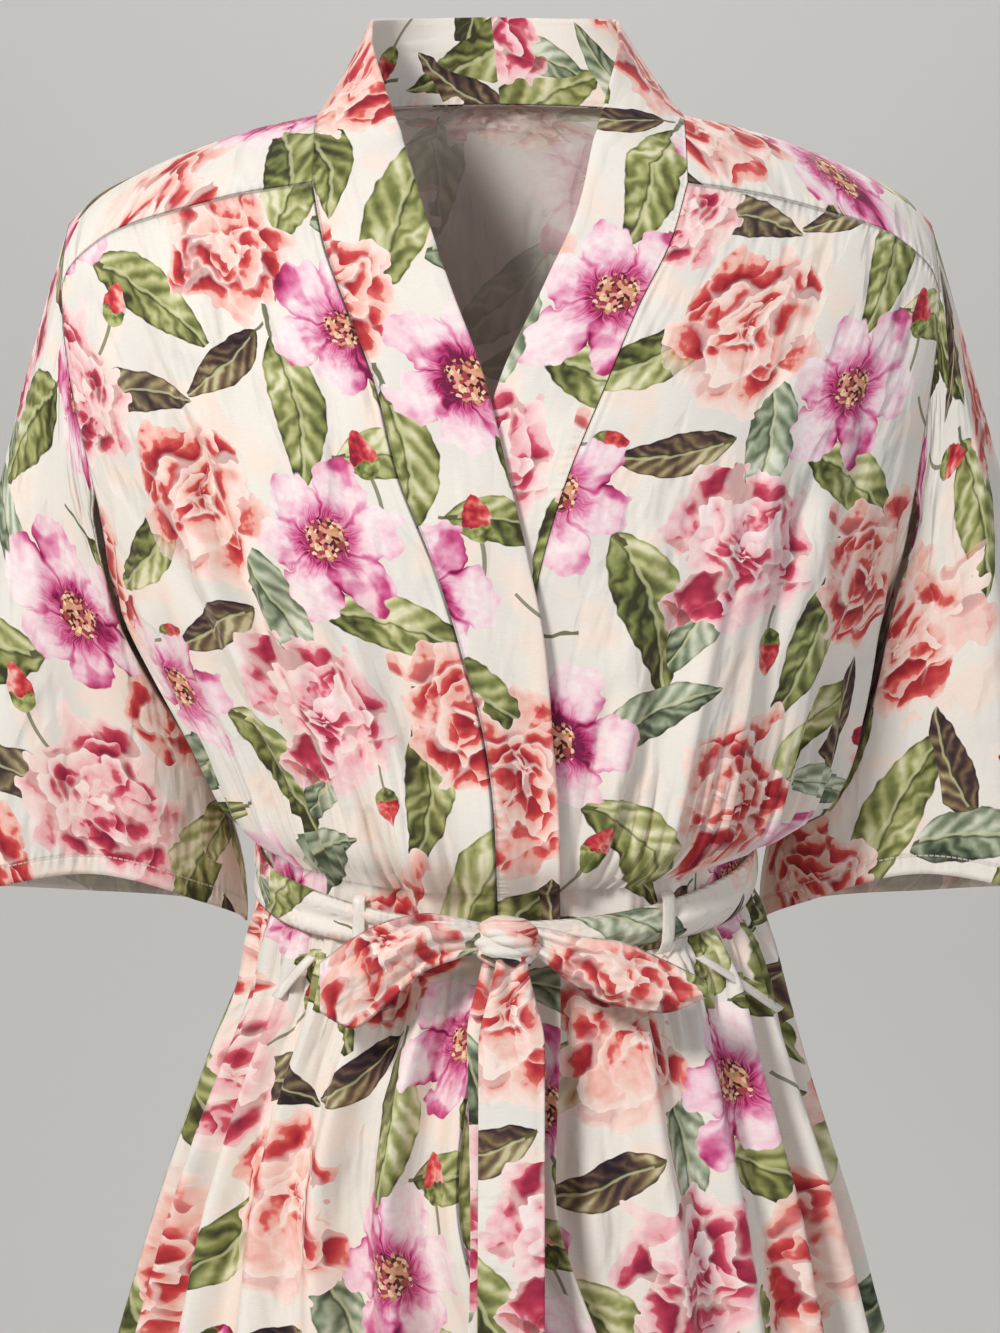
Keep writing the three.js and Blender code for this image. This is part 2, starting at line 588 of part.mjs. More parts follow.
// The armhole: the front's edge from the underarm up, then the back's edge over the shoulder and down,
// with a point at the middle of each straight stretch
function armholeLoop(side) {
  const corners = [];
  const frontColumns = FRONT_WAVES * COLUMNS_PER_WAVE;
  for (let row = UNDERARM_ROW; row >= 0; row -= 1) corners.push(frontPoint(side, frontColumns, row));
  const backColumn = side < 0 ? 0 : BACK_COLUMNS;
  const underarm = YOKE_ROWS + BACK_ROWS.indexOf(FRONT_ROWS[UNDERARM_ROW].outer);
  for (let row = 1; row < underarm; row += 1) corners.push(backPoint(backColumn, row));
  const points = [];
  corners.forEach((corner, index) => {
    points.push(corner, corner.clone().lerp(corners[(index + 1) % corners.length], 0.5));
  });
  return points;
}

// Moves a point of a sleeve out of the body's section at its height, so that the sleeve hangs against it
function clearOfBody(point) {
  const height = point.z;
  const sash = 1 - smooth((Math.abs(height - WAIST) - SASH_HALF_HEIGHT.side) / SASH_CLEAR_BLEND);
  const spare = bodyAt(height, 'fold') + SLEEVE_CLEAR + SASH_CLEAR * sash;
  const width = bodyAt(height, point.x < 0 ? 'left' : 'right') + spare;
  const depth = bodyAt(height, point.y < 0 ? 'front' : 'back') + spare;
  const across = (Math.abs(point.x) / width) ** SECTION_POWER;
  const through = (Math.abs(point.y) / depth) ** SECTION_POWER;
  const scale = Math.max((across + through) ** (-1 / SECTION_POWER), 1);
  if (height > SLEEVE_CLEAR_BELOW) return;
  point.x *= scale;
  point.y *= scale;
}

// A point of the cuff by its share round it, from the inner side by the front
function cuffPoint(sleeve, share) {
  const angle = 2 * Math.PI * share;
  const inner = (1 + Math.cos(angle)) / 2;
  const reach = sleeve.middle - sleeve.halfWidth * signedPower(Math.cos(angle), CUFF_ROUNDNESS);
  const hem = CUFF_HEIGHT - readTable(CUFF_WAVES, 'share', share, 'drop');
  const middleY = lerp(CUFF_Y.outer, CUFF_Y.inner, inner);
  const y = middleY - sleeve.halfDepth * signedPower(Math.sin(angle), CUFF_ROUNDNESS);
  return new THREE.Vector3(sleeve.side * reach, y, hem);
}

function sleevePoint(sleeve, loop, column, row) {
  const count = loop.length;
  const index = ((column % count) + count) % count;
  const start = loop[index].clone();
  const share = index / count;
  const side = sleeve.side;
  const under = Math.abs(Math.cos(Math.PI * share)) ** UNDERARM_NARROWNESS;
  start.x += side * lerp(SHOULDER_STEP.out, UNDERARM_STEP, under);
  start.z -= SHOULDER_STEP.down * (1 - under);
  const angle = 2 * Math.PI * share;
  const inner = (1 + Math.cos(angle)) / 2;
  const between = (ends, name) => lerp(ends.outer[name], ends.inner[name], inner);
  const cuff = cuffPoint(sleeve, share);
  const leave = new THREE.Vector3(side * between(SLEEVE_LEAVE, 'out'), between(SLEEVE_LEAVE, 'back'),
    between(SLEEVE_LEAVE, 'down'));
  const arrive = new THREE.Vector3(side * between(SLEEVE_ARRIVE, 'out'), 0, between(SLEEVE_ARRIVE, 'up'));
  const curve = new THREE.CubicBezierCurve3(start, leave.add(start), arrive.add(cuff), cuff);
  const point = curve.getPoint(row / SLEEVE_ROWS);
  const fold = SLEEVE_FOLD * Math.cos(SLEEVE_WAVES * angle) * (1 - inner ** 2) * smooth(row / SLEEVE_ROWS);
  point.x -= side * fold * Math.cos(angle);
  point.y -= fold * Math.sin(angle);
  if (row > 0) clearOfBody(point);
  return point;
}

function buildSleeves(group, material) {
  for (const sleeve of SLEEVES) {
    const loop = armholeLoop(sleeve.side);
    const pointAt = (column, row) => sleevePoint(sleeve, loop, column, row);
    const wall = clothWall(pointAt, loop.length, SLEEVE_ROWS, CLOTH_WALL, () => true, true);
    addPiece(group, sleeve.name, wall, material);
  }
}

// A point round the waist: 0 at the left of the knot, then by the left side, back and right side to 1
function waistPoint(share, rise, out) {
  const startTurn = Math.abs(turnAt(SASH_END_X, WAIST));
  const turns = lerp(startTurn, 4 - startTurn, share);
  let half = 'front';
  let turn = -turns;
  if (turns > 3) turn = 4 - turns;
  else if (turns > 1) [half, turn] = ['back', turns - 2];
  const point = bodyPoint(half, turn, WAIST, out);
  point.z += rise;
  return point;
}

function buildSash(group, material) {
  const sashPoint = (column, row) => {
    const share = column / SASH_COLUMNS;
    const frontness = smooth((Math.abs(share - 0.5) - 0.25) / 0.25);
    const half = lerp(SASH_HALF_HEIGHT.side, SASH_HALF_HEIGHT.front, frontness);
    return waistPoint(share, half * (1 - 2 * row), SASH_OUT);
  };
  addPiece(group, 'sash_waist', clothWall(sashPoint, SASH_COLUMNS, 1, SASH_WALL), material);
}

function buildKnot(group, material) {
  const geometry = new THREE.SphereGeometry(1, 16, 10);
  geometry.scale(KNOT.width / 2, KNOT.depth / 2, KNOT.height / 2);
  const mesh = new THREE.Mesh(geometry, material);
  mesh.name = 'sash_knot';
  mesh.position.set(KNOT.x, KNOT.y, KNOT.z);
  group.add(mesh);
}

// A bow loop: a ribbon out along the front, round its end and back behind, over a drawn outline
const LOOP_COLUMNS = 18;
const LOOP_WIDTH_ROWS = 3;

function loopPoint(stations, column, row) {
  const half = LOOP_COLUMNS / 2;
  const outward = 1 - Math.abs(column - half) / half;
  const along = Math.sin(outward * Math.PI / 2) * (stations.length - 1);
  const low = clamp(Math.floor(along), 0, stations.length - 2);
  const read = (name) => lerp(stations[low][name], stations[low + 1][name], along - low);
  const roundEnd = Math.sqrt(1 - outward ** LOOP_END_ROUNDNESS);
  const swell = LOOP_DEPTH / 2 * roundEnd * lerp(LOOP_PINCH, 1, smooth(outward * LOOP_OPENING));
  const middle = lerp(LOOP_Y.root, LOOP_Y.out, smooth(outward * LOOP_FORWARD));
  const y = middle + (column < half ? -swell : swell);
  return new THREE.Vector3(read('x'), y, lerp(read('top'), read('bottom'), row / LOOP_WIDTH_ROWS));
}

function buildBow(group, material) {
  for (const [side, stations] of [['left', LOOP_LEFT], ['right', LOOP_RIGHT]]) {
    const name = `bow_loop_viewer_${side}`;
    const pointAt = (column, row) => loopPoint(stations, clamp(column, 0, LOOP_COLUMNS), row);
    addPiece(group, name, clothWall(pointAt, LOOP_COLUMNS, LOOP_WIDTH_ROWS, SASH_WALL), material);
  }
}

function buildTails(group, material) {
  for (const tail of TAILS) {
    const pointAt = (column, row) => {
      const z = lerp(tail.top, tail.bottom, row / TAIL_ROWS);
      const x = lerp(tail.x0, tail.x1, row / TAIL_ROWS) + tail.halfWidth * (column - 1);
      const front = bodyAt(z, 'front') + bodyAt(z, 'fold');
      const y = lerp(tail.rootY, -(front + tail.out), smooth(row / TAIL_LEAN_ROWS));
      return new THREE.Vector3(x, y, z);
    };
    addPiece(group, tail.name, clothWall(pointAt, 2, TAIL_ROWS, SASH_WALL), material);
  }
}

function buildStraps(group, material) {
  for (const strap of STRAPS) {
    const pointAt = (column, row) => {
      const entry = STRAP_PATH[row];
      const x = strap.x + strap.halfWidth * (2 * column - 1);
      const point = bodyPoint('front', turnAt(x, WAIST), WAIST, entry.out);
      point.z = entry.height - bodyAt(entry.height, 'dip') * Math.cos(turnAt(x, WAIST) * Math.PI / 2);
      return point;
    };
    addPiece(group, strap.name, clothWall(pointAt, 1, STRAP_PATH.length - 1, TAPE_WALL), material);
  }
}

function buildPocketEdges(group, material) {
  for (const edge of POCKET_EDGES) {
    const pointAt = (column, row) => {
      const share = row / POCKET_EDGE_ROWS;
      const height = lerp(edge.height0, edge.height1, share);
      const x = lerp(edge.x0, edge.x1, share) + POCKET_EDGE_HALF_WIDTH * (2 * column - 1);
      const out = bodyAt(height, 'fold') + CLOTH_WALL / 2 + TAPE_WALL / 2 + POCKET_EDGE_CLEAR;
      return bodyPoint('front', turnAt(x, height), height, out);
    };
    addPiece(group, edge.name, clothWall(pointAt, 1, POCKET_EDGE_ROWS, TAPE_WALL), material);
  }
}

function buildRobe() {
  const robe = new THREE.Group();
  const print = materialFor('printed_jersey', COLOURS.print);
  const sash = materialFor('printed_sash', COLOURS.printShade);
  const tape = materialFor('white_tape', COLOURS.tape);
  buildBack(robe, print);
  buildFronts(robe, print);
  buildBands(robe, print);
  buildSleeves(robe, print);
  buildSash(robe, sash);
  buildKnot(robe, sash);
  buildBow(robe, sash);
  buildTails(robe, sash);
  buildStraps(robe, tape);
  buildPocketEdges(robe, tape);
  return robe;
}

export default buildRobe();
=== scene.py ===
"""A knee-length wrap robe of thin jersey, printed with watercolour flowers and leaves, worn open at the neck
and tied with its own sash. Tables are in millimetres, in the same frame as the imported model."""
import math

import bpy
import numpy as np
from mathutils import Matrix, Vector


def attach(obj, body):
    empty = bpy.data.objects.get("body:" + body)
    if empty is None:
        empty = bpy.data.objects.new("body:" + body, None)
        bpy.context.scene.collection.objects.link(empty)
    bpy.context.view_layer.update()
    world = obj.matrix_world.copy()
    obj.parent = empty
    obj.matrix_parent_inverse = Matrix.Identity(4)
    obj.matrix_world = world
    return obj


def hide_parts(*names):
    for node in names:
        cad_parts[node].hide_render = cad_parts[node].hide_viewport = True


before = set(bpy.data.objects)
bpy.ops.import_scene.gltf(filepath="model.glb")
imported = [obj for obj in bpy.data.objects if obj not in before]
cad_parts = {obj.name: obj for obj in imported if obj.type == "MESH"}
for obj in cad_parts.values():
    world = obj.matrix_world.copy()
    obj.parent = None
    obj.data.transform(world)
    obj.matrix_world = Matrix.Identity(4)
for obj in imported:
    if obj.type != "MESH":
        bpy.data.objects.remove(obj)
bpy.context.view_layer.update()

MM = 0.001


def columns_of(names, rows):
    """A table as one array for each named column."""
    data = np.array(rows, float)
    return {name: data[:, index] for index, name in enumerate(names.split())}


# The form of the worn robe

SECTION_POWER = 2.3
BACK_RISE = 0.27
WAIST = -412
FRONT_WAVES = 7
BACK_WAVES = 13
BACK_COLUMNS = 52
NECK_COLUMNS = 14
YOKE_LEVEL = -170
YOKE_FRONT_ROWS = 2
YOKE_ROWS = 6
RIDGE_Y = -5
UNDERARM_ROW = 5
SEAM_BEND_ROWS = 3
LAYER_STEP = 4.8
LAYER_EDGE = 4
LAYER_BLEND = 34
CROSSING_TOP = -125
CROSSING_BOTTOM = -168

BODY = columns_of("height left right front back dip fold arm", [
    (0, 264, 264, 48, 50, 0, 0, 0.9),
    (-57, 262, 262, 74, 70, 0, 0, 0.9),
    (-110, 257, 258, 97, 85, 0, 0, 0.905),
    (-170, 242, 244, 113, 94, 0, 0, 0.93),
    (-230, 221, 227, 119, 99, 0, 0.6, 0.96),
    (-285, 203, 208, 120, 101, 0, 1.4, 1),
    (-318, 185, 200, 118, 100, 4, 2.2, 1),
    (-348, 166, 191, 116, 99, 9, 3, 1),
    (-372, 152, 180, 115, 99, 16, 3.8, 1),
    (-384, 144, 170, 115, 100, 22, 4.2, 1),
    (-391, 136, 155, 111, 98, 27, 3.6, 1),
    (-396, 128, 135, 96, 89, 31, 2.3, 1),
    (-412, 127, 134, 95, 88, 37, 2.2, 1),
    (-428, 128, 135, 96, 89, 36, 2.4, 1),
    (-437, 129, 138, 101, 93, 33, 4, 1),
    (-462, 131, 144, 108, 100, 24, 6, 1),
    (-520, 150, 157, 122, 114, 9, 8.5, 1),
    (-610, 179, 183, 141, 133, 1, 10.5, 1),
    (-730, 210, 211, 158, 150, 0, 11.5, 1),
    (-905, 232, 232, 172, 165, 0, 12.5, 1),
])

FRONT_ROWS = columns_of("row inner outer", [
    (0, -57, -110), (1, -88, -140), (2, -125, -176), (3, -168, -212), (4, -212, -248), (5, -255, -285),
    (6, -300, -318), (7, -340, -348), (8, -370, -372), (9, -384, -384), (10, -391, -391), (11, -396, -396),
    (12, -412, -412), (13, -428, -428), (14, -437, -437), (15, -462, -462), (16, -520, -520),
    (17, -610, -610), (18, -730, -730), (19, -905, -905),
])
BACK_ROWS = columns_of("row height", [
    (0, -170), (1, -212), (2, -248), (3, -285), (4, -318), (5, -348), (6, -372), (7, -384), (8, -391),
    (9, -396), (10, -412), (11, -428), (12, -437), (13, -462), (14, -520), (15, -610), (16, -730), (17, -905),
])
SHOULDER = columns_of("x seam ridge", [
    (98, -57, -10), (133, -62, -18), (171, -71, -31), (202, -80, -45), (217, -89, -53), (228, -99, -63),
    (233, -110, -68),
])
NECKLINE = columns_of("share x y z", [
    (0, 98, -5, -10), (0.25, 90, 18, -3), (0.5, 70, 39, 3), (0.75, 38, 53, 7), (1, 0, 58, 9),
])
TOP_BAND = columns_of("height free_height seam free", [
    (-57, -33, -98, -52), (-88, -70, -92, -41), (-125, -113, -79, -27), (-168, -163, -63, -9),
    (-212, -212, -52, 3), (-255, -255, -35, 13), (-300, -300, -20, 22), (-340, -340, -8, 26),
    (-372, -372, -3, 29), (-412, -412, -1, 30), (-462, -462, -8, 30), (-572, -572, -20, 27),
    (-674, -674, 4, 57), (-905, -905, 36, 90),
])
UNDER_BAND = columns_of("height free_height seam free", [
    (-57, -33, 98, 50), (-88, -70, 89, 42), (-125, -113, 71, 24), (-168, -163, 53, 1), (-212, -212, 35, -13),
    (-255, -255, 22, -24), (-300, -300, 12, -30), (-340, -340, 6, -34), (-372, -372, 3, -36),
    (-412, -412, 1, -36), (-462, -462, 0, -42), (-572, -572, -4, -54), (-674, -674, -10, -64),
    (-905, -905, -30, -84),
])
NECK_BAND = columns_of("row x y z", [
    (0, 0, 70, 60), (1.75, 32, 64, 58), (3.5, 56, 47, 54), (5.25, 68, 20, 47), (7, 68, -13, 30),
    (8, 60, -42, -3), (9, 51, -66, -33),
])
NECK_SHIFT = -5
NECK_ROWS = 9

# Long folds from the shoulders and sides to the knot, as the solids have them
LONG_FOLDS = [
    # half, top x and z, bottom x and z, bow, depth, width
    ("front", -214, -120, -56, -395, -14, 6, 13),
    ("front", -140, -225, -45, -395, -8, 5, 11),
    ("front", -112, -250, -36, -392, -6, -5, 10),
    ("front", 168, -205, 108, -385, 4, 6, 13),
    ("front", 90, -290, 46, -395, 4, 5, 11),
    ("front", 205, -250, 140, -385, 8, -5, 12),
    ("back", -190, -215, -70, -390, -12, 6, 14),
    ("back", 185, -225, 78, -390, 12, 6, 14),
    ("back", -95, -265, -30, -392, -5, 5, 12),
    ("back", 80, -255, 22, -392, 5, 5, 12),
]

CREASE_SIZE = 3.0

# Finer creases: a trough where depth is below nothing, a ridge where it is above, each along its own points
CREASES = [
    # half, depth, width, points from the top down as x and z
    ("front", -3.4, 5.5, [(-197, -108), (-180, -152), (-155, -206), (-136, -254), (-117, -304), (-95, -352),
                          (-70, -390), (-46, -410)]),
    ("front", -3.0, 4.5, [(-124, -232), (-105, -291), (-88, -335), (-66, -379), (-40, -408)]),
    ("front", 2.2, 5.0, [(-100, -253), (-73, -304), (-56, -362), (-36, -405)]),
    ("front", -2.4, 4.0, [(-60, -313), (-40, -354), (-24, -387), (-18, -405)]),
    ("front", 2.0, 5.5, [(-176, -170), (-160, -220), (-146, -262), (-127, -308), (-104, -350), (-80, -385)]),
    ("front", -1.6, 5.0, [(-90, -140), (-84, -200), (-70, -260), (-50, -320), (-34, -380)]),
    ("front", -2.6, 5.0, [(-150, -300), (-128, -340), (-104, -372), (-84, -402)]),
    ("front", 1.8, 4.5, [(-168, -262), (-148, -310), (-124, -350), (-98, -384), (-84, -400)]),
    ("front", -3.4, 5.5, [(168, -205), (154, -232), (145, -265), (137, -300), (128, -345), (118, -385)]),
    ("front", -2.8, 5.0, [(96, -270), (83, -304), (72, -346), (62, -372), (44, -405)]),
    ("front", 2.0, 5.0, [(120, -230), (108, -290), (97, -340), (84, -388)]),
    ("front", -2.2, 4.5, [(60, -310), (50, -350), (38, -392)]),
    ("front", -2.4, 5.0, [(190, -270), (176, -320), (158, -360), (140, -390)]),
    ("front", 1.6, 5.0, [(150, -150), (142, -200), (128, -260), (112, -320), (98, -380)]),
    ("front", -1.4, 6.0, [(196, -150), (188, -200), (178, -240)]),
    ("front", 1.4, 7.0, [(-150, -84), (-152, -130), (-140, -190)]),
    ("back", -3.0, 5.5, [(-176, -190), (-150, -250), (-118, -320), (-74, -390), (-56, -405)]),
    ("back", -3.0, 5.5, [(172, -200), (148, -262), (116, -330), (78, -392), (60, -405)]),
    ("back", 2.0, 5.0, [(-120, -240), (-92, -300), (-60, -370), (-44, -402)]),
    ("back", 2.2, 5.0, [(110, -232), (84, -300), (52, -372), (40, -402)]),
    ("back", -2.4, 4.5, [(-70, -290), (-44, -350), (-26, -400)]),
    ("back", -2.2, 4.5, [(60, -280), (38, -346), (20, -400)]),
    ("back", 1.6, 6.0, [(-10, -230), (-6, -300), (2, -390)]),
    ("back", -1.6, 6.0, [(-150, -110), (-146, -160), (-130, -220)]),
    ("back", -1.6, 6.0, [(140, -100), (142, -160), (128, -226)]),
    ("back", 1.4, 7.0, [(0, -30), (4, -80), (0, -150)]),
]


def lerp(a, b, t):
    return a + (b - a) * t


def smooth(t):
    t = np.clip(t, 0, 1)
    return t * t * (3 - 2 * t)


def power(value, exponent):
    return np.sign(value) * np.abs(value) ** exponent


def read(table, key, at, column):
    """A named column at a key, smooth between the rows and never past them."""
    order = np.argsort(table[key])
    knots, values = table[key][order], table[column][order]
    steps = np.diff(knots)
    slopes = np.diff(values) / steps
    bends = np.empty_like(values)
    bends[0], bends[-1] = slopes[0], slopes[-1]
    product = slopes[:-1] * slopes[1:]
    total = slopes[:-1] + slopes[1:]
    bends[1:-1] = np.where(product > 0, 2 * product / np.where(total == 0, 1, total), 0)
    at = np.asarray(at, float)
    place = np.clip(np.searchsorted(knots, at, side="right") - 1, 0, len(steps) - 1)
    t = (at - knots[place]) / steps[place]
    start, end = values[place], values[place + 1]
    leave, arrive = bends[place] * steps[place], bends[place + 1] * steps[place]
    between = ((2 * t ** 3 - 3 * t ** 2 + 1) * start + (t ** 3 - 2 * t ** 2 + t) * leave
               + (3 * t ** 2 - 2 * t ** 3) * end + (t ** 3 - t ** 2) * arrive)
    return np.where(t < 0, start + leave * t, np.where(t > 1, end + arrive * (t - 1), between))


def wander(along, across, seed):
    """A smooth uneven value between about -1 and 1 over two coordinates."""
    chance = np.random.default_rng(seed)
    total = 0
    for _ in range(6):
        step_along, step_across = chance.uniform(0.45, 1.7, 2)
        turned = chance.choice((-1, 1))
        start = chance.uniform(0, 2 * math.pi)
        total = total + np.sin(step_along * along + turned * step_across * across + start)
    return total / 3.4


def body_at(height, column):
    return read(BODY, "height", height, column)


def half_width(x, height):
    return np.where(np.asarray(x) < 0, body_at(height, "left"), body_at(height, "right"))


def turn_at(x, height):
    """Turn round the body: -1 at the left side seam, 0 at the centre, 1 at the right side seam."""
    share = np.clip(np.abs(x) / half_width(x, height), 0, 1)
    return np.sign(x) * np.arcsin(share ** (SECTION_POWER / 2)) / (math.pi / 2)


def long_fold_lift(half, x, z):
    lift = np.zeros(np.broadcast(x, z).shape)
    for which, x0, z0, x1, z1, bow, depth, width in LONG_FOLDS:
        if which != half:
            continue
        t = np.clip((z0 - z) / (z0 - z1), 0, 1)
        line = lerp(x0, x1, t) + bow * np.sin(math.pi * t)
        lift = lift + depth * np.exp(-((x - line) / width) ** 2) * np.sin(math.pi * t) ** 0.7
    return lift


def crease_lift(half, x, z):
    """Creases along listed points: one flank steep and the other soft, deeper in the middle of their run."""
    lift = np.zeros(np.broadcast(x, z).shape)
    for which, depth, width, points in CREASES:
        if which != half:
            continue
        heights = np.array([point[1] for point in points], float)
        line = np.interp(z, heights[::-1], np.array([point[0] for point in points], float)[::-1])
        t = np.clip((heights[0] - z) / (heights[0] - heights[-1]), 0, 1)
        away = x - line
        reach = width * np.where(away * line > 0, 1.7, 0.9)
        lift = lift + CREASE_SIZE * depth * np.exp(-(away / reach) ** 2) * np.sin(math.pi * t) ** 0.6
    return lift


def body_point(half, turn, height, out=0.0):
    """Points of the body's surface at turns and heights, moved outwards, in millimetres."""
    angle = turn * math.pi / 2
    sine, cosine = np.sin(angle), np.cos(angle)
    facing = -1 if half == "front" else 1
    width = half_width(turn, height)
    depth = body_at(height, half)
    x = width * power(sine, 2 / SECTION_POWER)
    y = facing * depth * power(cosine, 2 / SECTION_POWER)
    z = height - body_at(height, "dip") * (1 if half == "front" else -BACK_RISE) * cosine
    normal_x, normal_y = sine * depth, facing * cosine * width
    size = np.hypot(normal_x, normal_y)
    lift = out + long_fold_lift(half, x, height) + crease_lift(half, x, height)
    return np.stack([x + normal_x / size * lift, y + normal_y / size * lift, z], axis=-1)


def gathers(share, height, waves, seed):
    """Uneven hanging folds: full on top and tight between, and even at the two seams."""
    inside = smooth(np.sin(math.pi * np.clip(share, 0, 1)) * 2.5)
    drift = 0.9 * inside * wander(share * 6, height / 120, seed)
    phase = 2 * math.pi * waves * share + drift
    size = 1 + 0.32 * inside * wander(share * 11, height / 150, seed + 1)
    waist = np.exp(-((height - WAIST) / 60) ** 2) - np.exp(-((height - WAIST) / 22) ** 2)
    pleats = np.cos(2 * math.pi * (waves * 2.3) * share + 2.2 * drift)
    uneven = 1 + 0.4 * wander(share * 17, height / 90, seed + 2)
    small = 1.45 * inside * waist * (1 - 1.5 * np.abs(pleats)) * uneven
    return (0.86 * np.cos(phase) + 0.2 * inside * np.cos(2 * phase) + 0.14) * size + small


def under_share(x, height):
    edge = read(TOP_BAND, "free_height", np.minimum(height, CROSSING_TOP), "free")
    crossed = smooth((CROSSING_TOP - height) / (CROSSING_TOP - CROSSING_BOTTOM))
    return crossed * (1 - smooth((x - edge - LAYER_EDGE) / LAYER_BLEND))


def under_lift(x, height, wave):
    under = under_share(x, height)
    fold = body_at(height, "fold")
    return fold * wave * (1 - under) - (fold + LAYER_STEP) * under


def seam_bend(x, share):
    reach = np.clip(np.abs(x), SHOULDER["x"][0], SHOULDER["x"][-1])
    straight = lerp(SHOULDER["seam"][0], SHOULDER["seam"][-1], np.clip(share, 0, 1))
    return read(SHOULDER, "x", reach, "seam") - straight


def front_point(side, share, row):
    bands = TOP_BAND if side < 0 else UNDER_BAND
    inner = read(FRONT_ROWS, "row", row, "inner")
    outer = read(FRONT_ROWS, "row", row, "outer")
    seam_x = read(bands, "height", inner, "seam")
    side_x = side * np.minimum(body_at(outer, "arm"), 1) * body_at(outer, "left" if side < 0 else "right")
    turn = lerp(turn_at(seam_x, inner), side * np.abs(turn_at(side_x, outer)), share)
    level = lerp(inner, outer, share)
    x = body_point("front", turn, level)[..., 0]
    height = level + seam_bend(x, share) * (1 - smooth(row / SEAM_BEND_ROWS))
    wave = gathers(share, height, FRONT_WAVES, 11 if side < 0 else 23)
    lift = body_at(height, "fold") * wave if side < 0 else under_lift(x, height, wave)
    return body_point("front", turn, height, lift)


def back_turn(column, height):
    share = column / BACK_COLUMNS * 2 - 1
    sign = np.where(share < 0, -1, 1)
    edge = sign * body_at(height, "arm") * half_width(share, height)
    return share * np.abs(turn_at(edge, height))


def neck_point(column):
    share = 1 - np.abs(column - BACK_COLUMNS / 2) / (NECK_COLUMNS / 2)
    side = np.where(column < BACK_COLUMNS / 2, -1, 1)
    return np.stack([side * read(NECKLINE, "share", share, "x"), read(NECKLINE, "share", share, "y"),
                     read(NECKLINE, "share", share, "z")], axis=-1)


def yoke_point(column, row):
    """The back's first rows: from the forward shoulder seam over the shoulder to where the back hangs."""
    side = np.where(column < BACK_COLUMNS / 2, -1, 1)
    share = (np.abs(column - BACK_COLUMNS / 2) - NECK_COLUMNS / 2) / (BACK_COLUMNS / 2 - NECK_COLUMNS / 2)
    reach = lerp(SHOULDER["x"][0], SHOULDER["x"][-1], np.maximum(share, 0))
    ridge = read(SHOULDER, "x", reach, "ridge")
    seam = read(SHOULDER, "x", reach, "seam")
    foot = body_point("back", back_turn(column, YOKE_LEVEL), YOKE_LEVEL)
    top = np.where((share < 0)[..., None], neck_point(column),
                   np.stack([side * reach, np.full_like(reach, RIDGE_Y), ridge], axis=-1))
    behind = np.maximum(row - YOKE_FRONT_ROWS, 0) / (YOKE_ROWS - YOKE_FRONT_ROWS) * math.pi / 2
    drop = np.sin(behind)
    back = np.stack([lerp(top[..., 0], foot[..., 0], drop ** 2), lerp(top[..., 1], foot[..., 1], drop),
                     lerp(top[..., 2], YOKE_LEVEL, 1 - np.cos(behind))], axis=-1)
    seam_angle = np.arcsin((seam - YOKE_LEVEL) / (ridge - YOKE_LEVEL))
    seam_y = body_point("front", turn_at(side * reach, seam), seam)[..., 1]
    depth = (RIDGE_Y - seam_y) / np.cos(seam_angle)
    angle = lerp(seam_angle, math.pi / 2, np.clip(row / YOKE_FRONT_ROWS, 0, 1))
    ahead = np.stack([side * reach, RIDGE_Y - depth * np.cos(angle),
                      YOKE_LEVEL + (ridge - YOKE_LEVEL) * np.sin(angle)], axis=-1)
    return np.where((row >= YOKE_FRONT_ROWS)[..., None], back, ahead)


def back_point(column, row):
    column, row = np.broadcast_arrays(np.asarray(column, float), np.asarray(row, float))
    height = read(BACK_ROWS, "row", np.maximum(row - YOKE_ROWS, 0), "height")
    wave = gathers(column / BACK_COLUMNS, height, BACK_WAVES, 37)
    hanging = body_point("back", back_turn(column, height), height, body_at(height, "fold") * wave)
    return np.where((row < YOKE_ROWS)[..., None], yoke_point(column, row), hanging)


def neckline_edge(side, row):
    centre = BACK_COLUMNS / 2
    corner = NECK_COLUMNS / 2
    row = np.asarray(row, float)
    behind = neck_point(centre + side * np.clip(row, 1e-6, corner))
    yoke_row = np.clip(YOKE_FRONT_ROWS - (row - corner), 0, 1.999)
    ahead = yoke_point(np.full_like(row, centre + side * corner), yoke_row)
    return np.where((row <= corner)[..., None], behind, ahead)


def band_point(side, share, row):
    """The middle of a band's cloth: from the centre back round the neck, and down a front."""
    share, row = np.broadcast_arrays(np.asarray(share, float), np.asarray(row, float))
    neck_row = np.minimum(row, NECK_ROWS)
    seam = neckline_edge(side, neck_row)
    shift = NECK_SHIFT * np.sqrt(np.maximum(1 - neck_row / NECK_ROWS, 0))
    x, y, z = (read(NECK_BAND, "row", neck_row, column) for column in "xyz")
    free = np.stack([side * x + shift, y, z], axis=-1)
    neck = lerp(seam, free, share[..., None])
    neck[..., 2] += 1.5 * np.sin(math.pi * share) * np.sin(neck_row / NECK_ROWS * math.pi)
    bands = TOP_BAND if side < 0 else UNDER_BAND
    inner = read(FRONT_ROWS, "row", np.maximum(row - NECK_ROWS, 0), "inner")
    height = lerp(inner, read(bands, "height", inner, "free_height"), share)
    x = lerp(read(bands, "height", inner, "seam"), read(bands, "height", inner, "free"), share)
    wave = np.cos(2 * math.pi * share * 0.75)
    lift = body_at(height, "fold") * wave if side < 0 else under_lift(x, height, wave)
    down = body_point("front", turn_at(x, height), height, lift)
    return np.where((row < NECK_ROWS)[..., None], neck, down)


# Sleeves

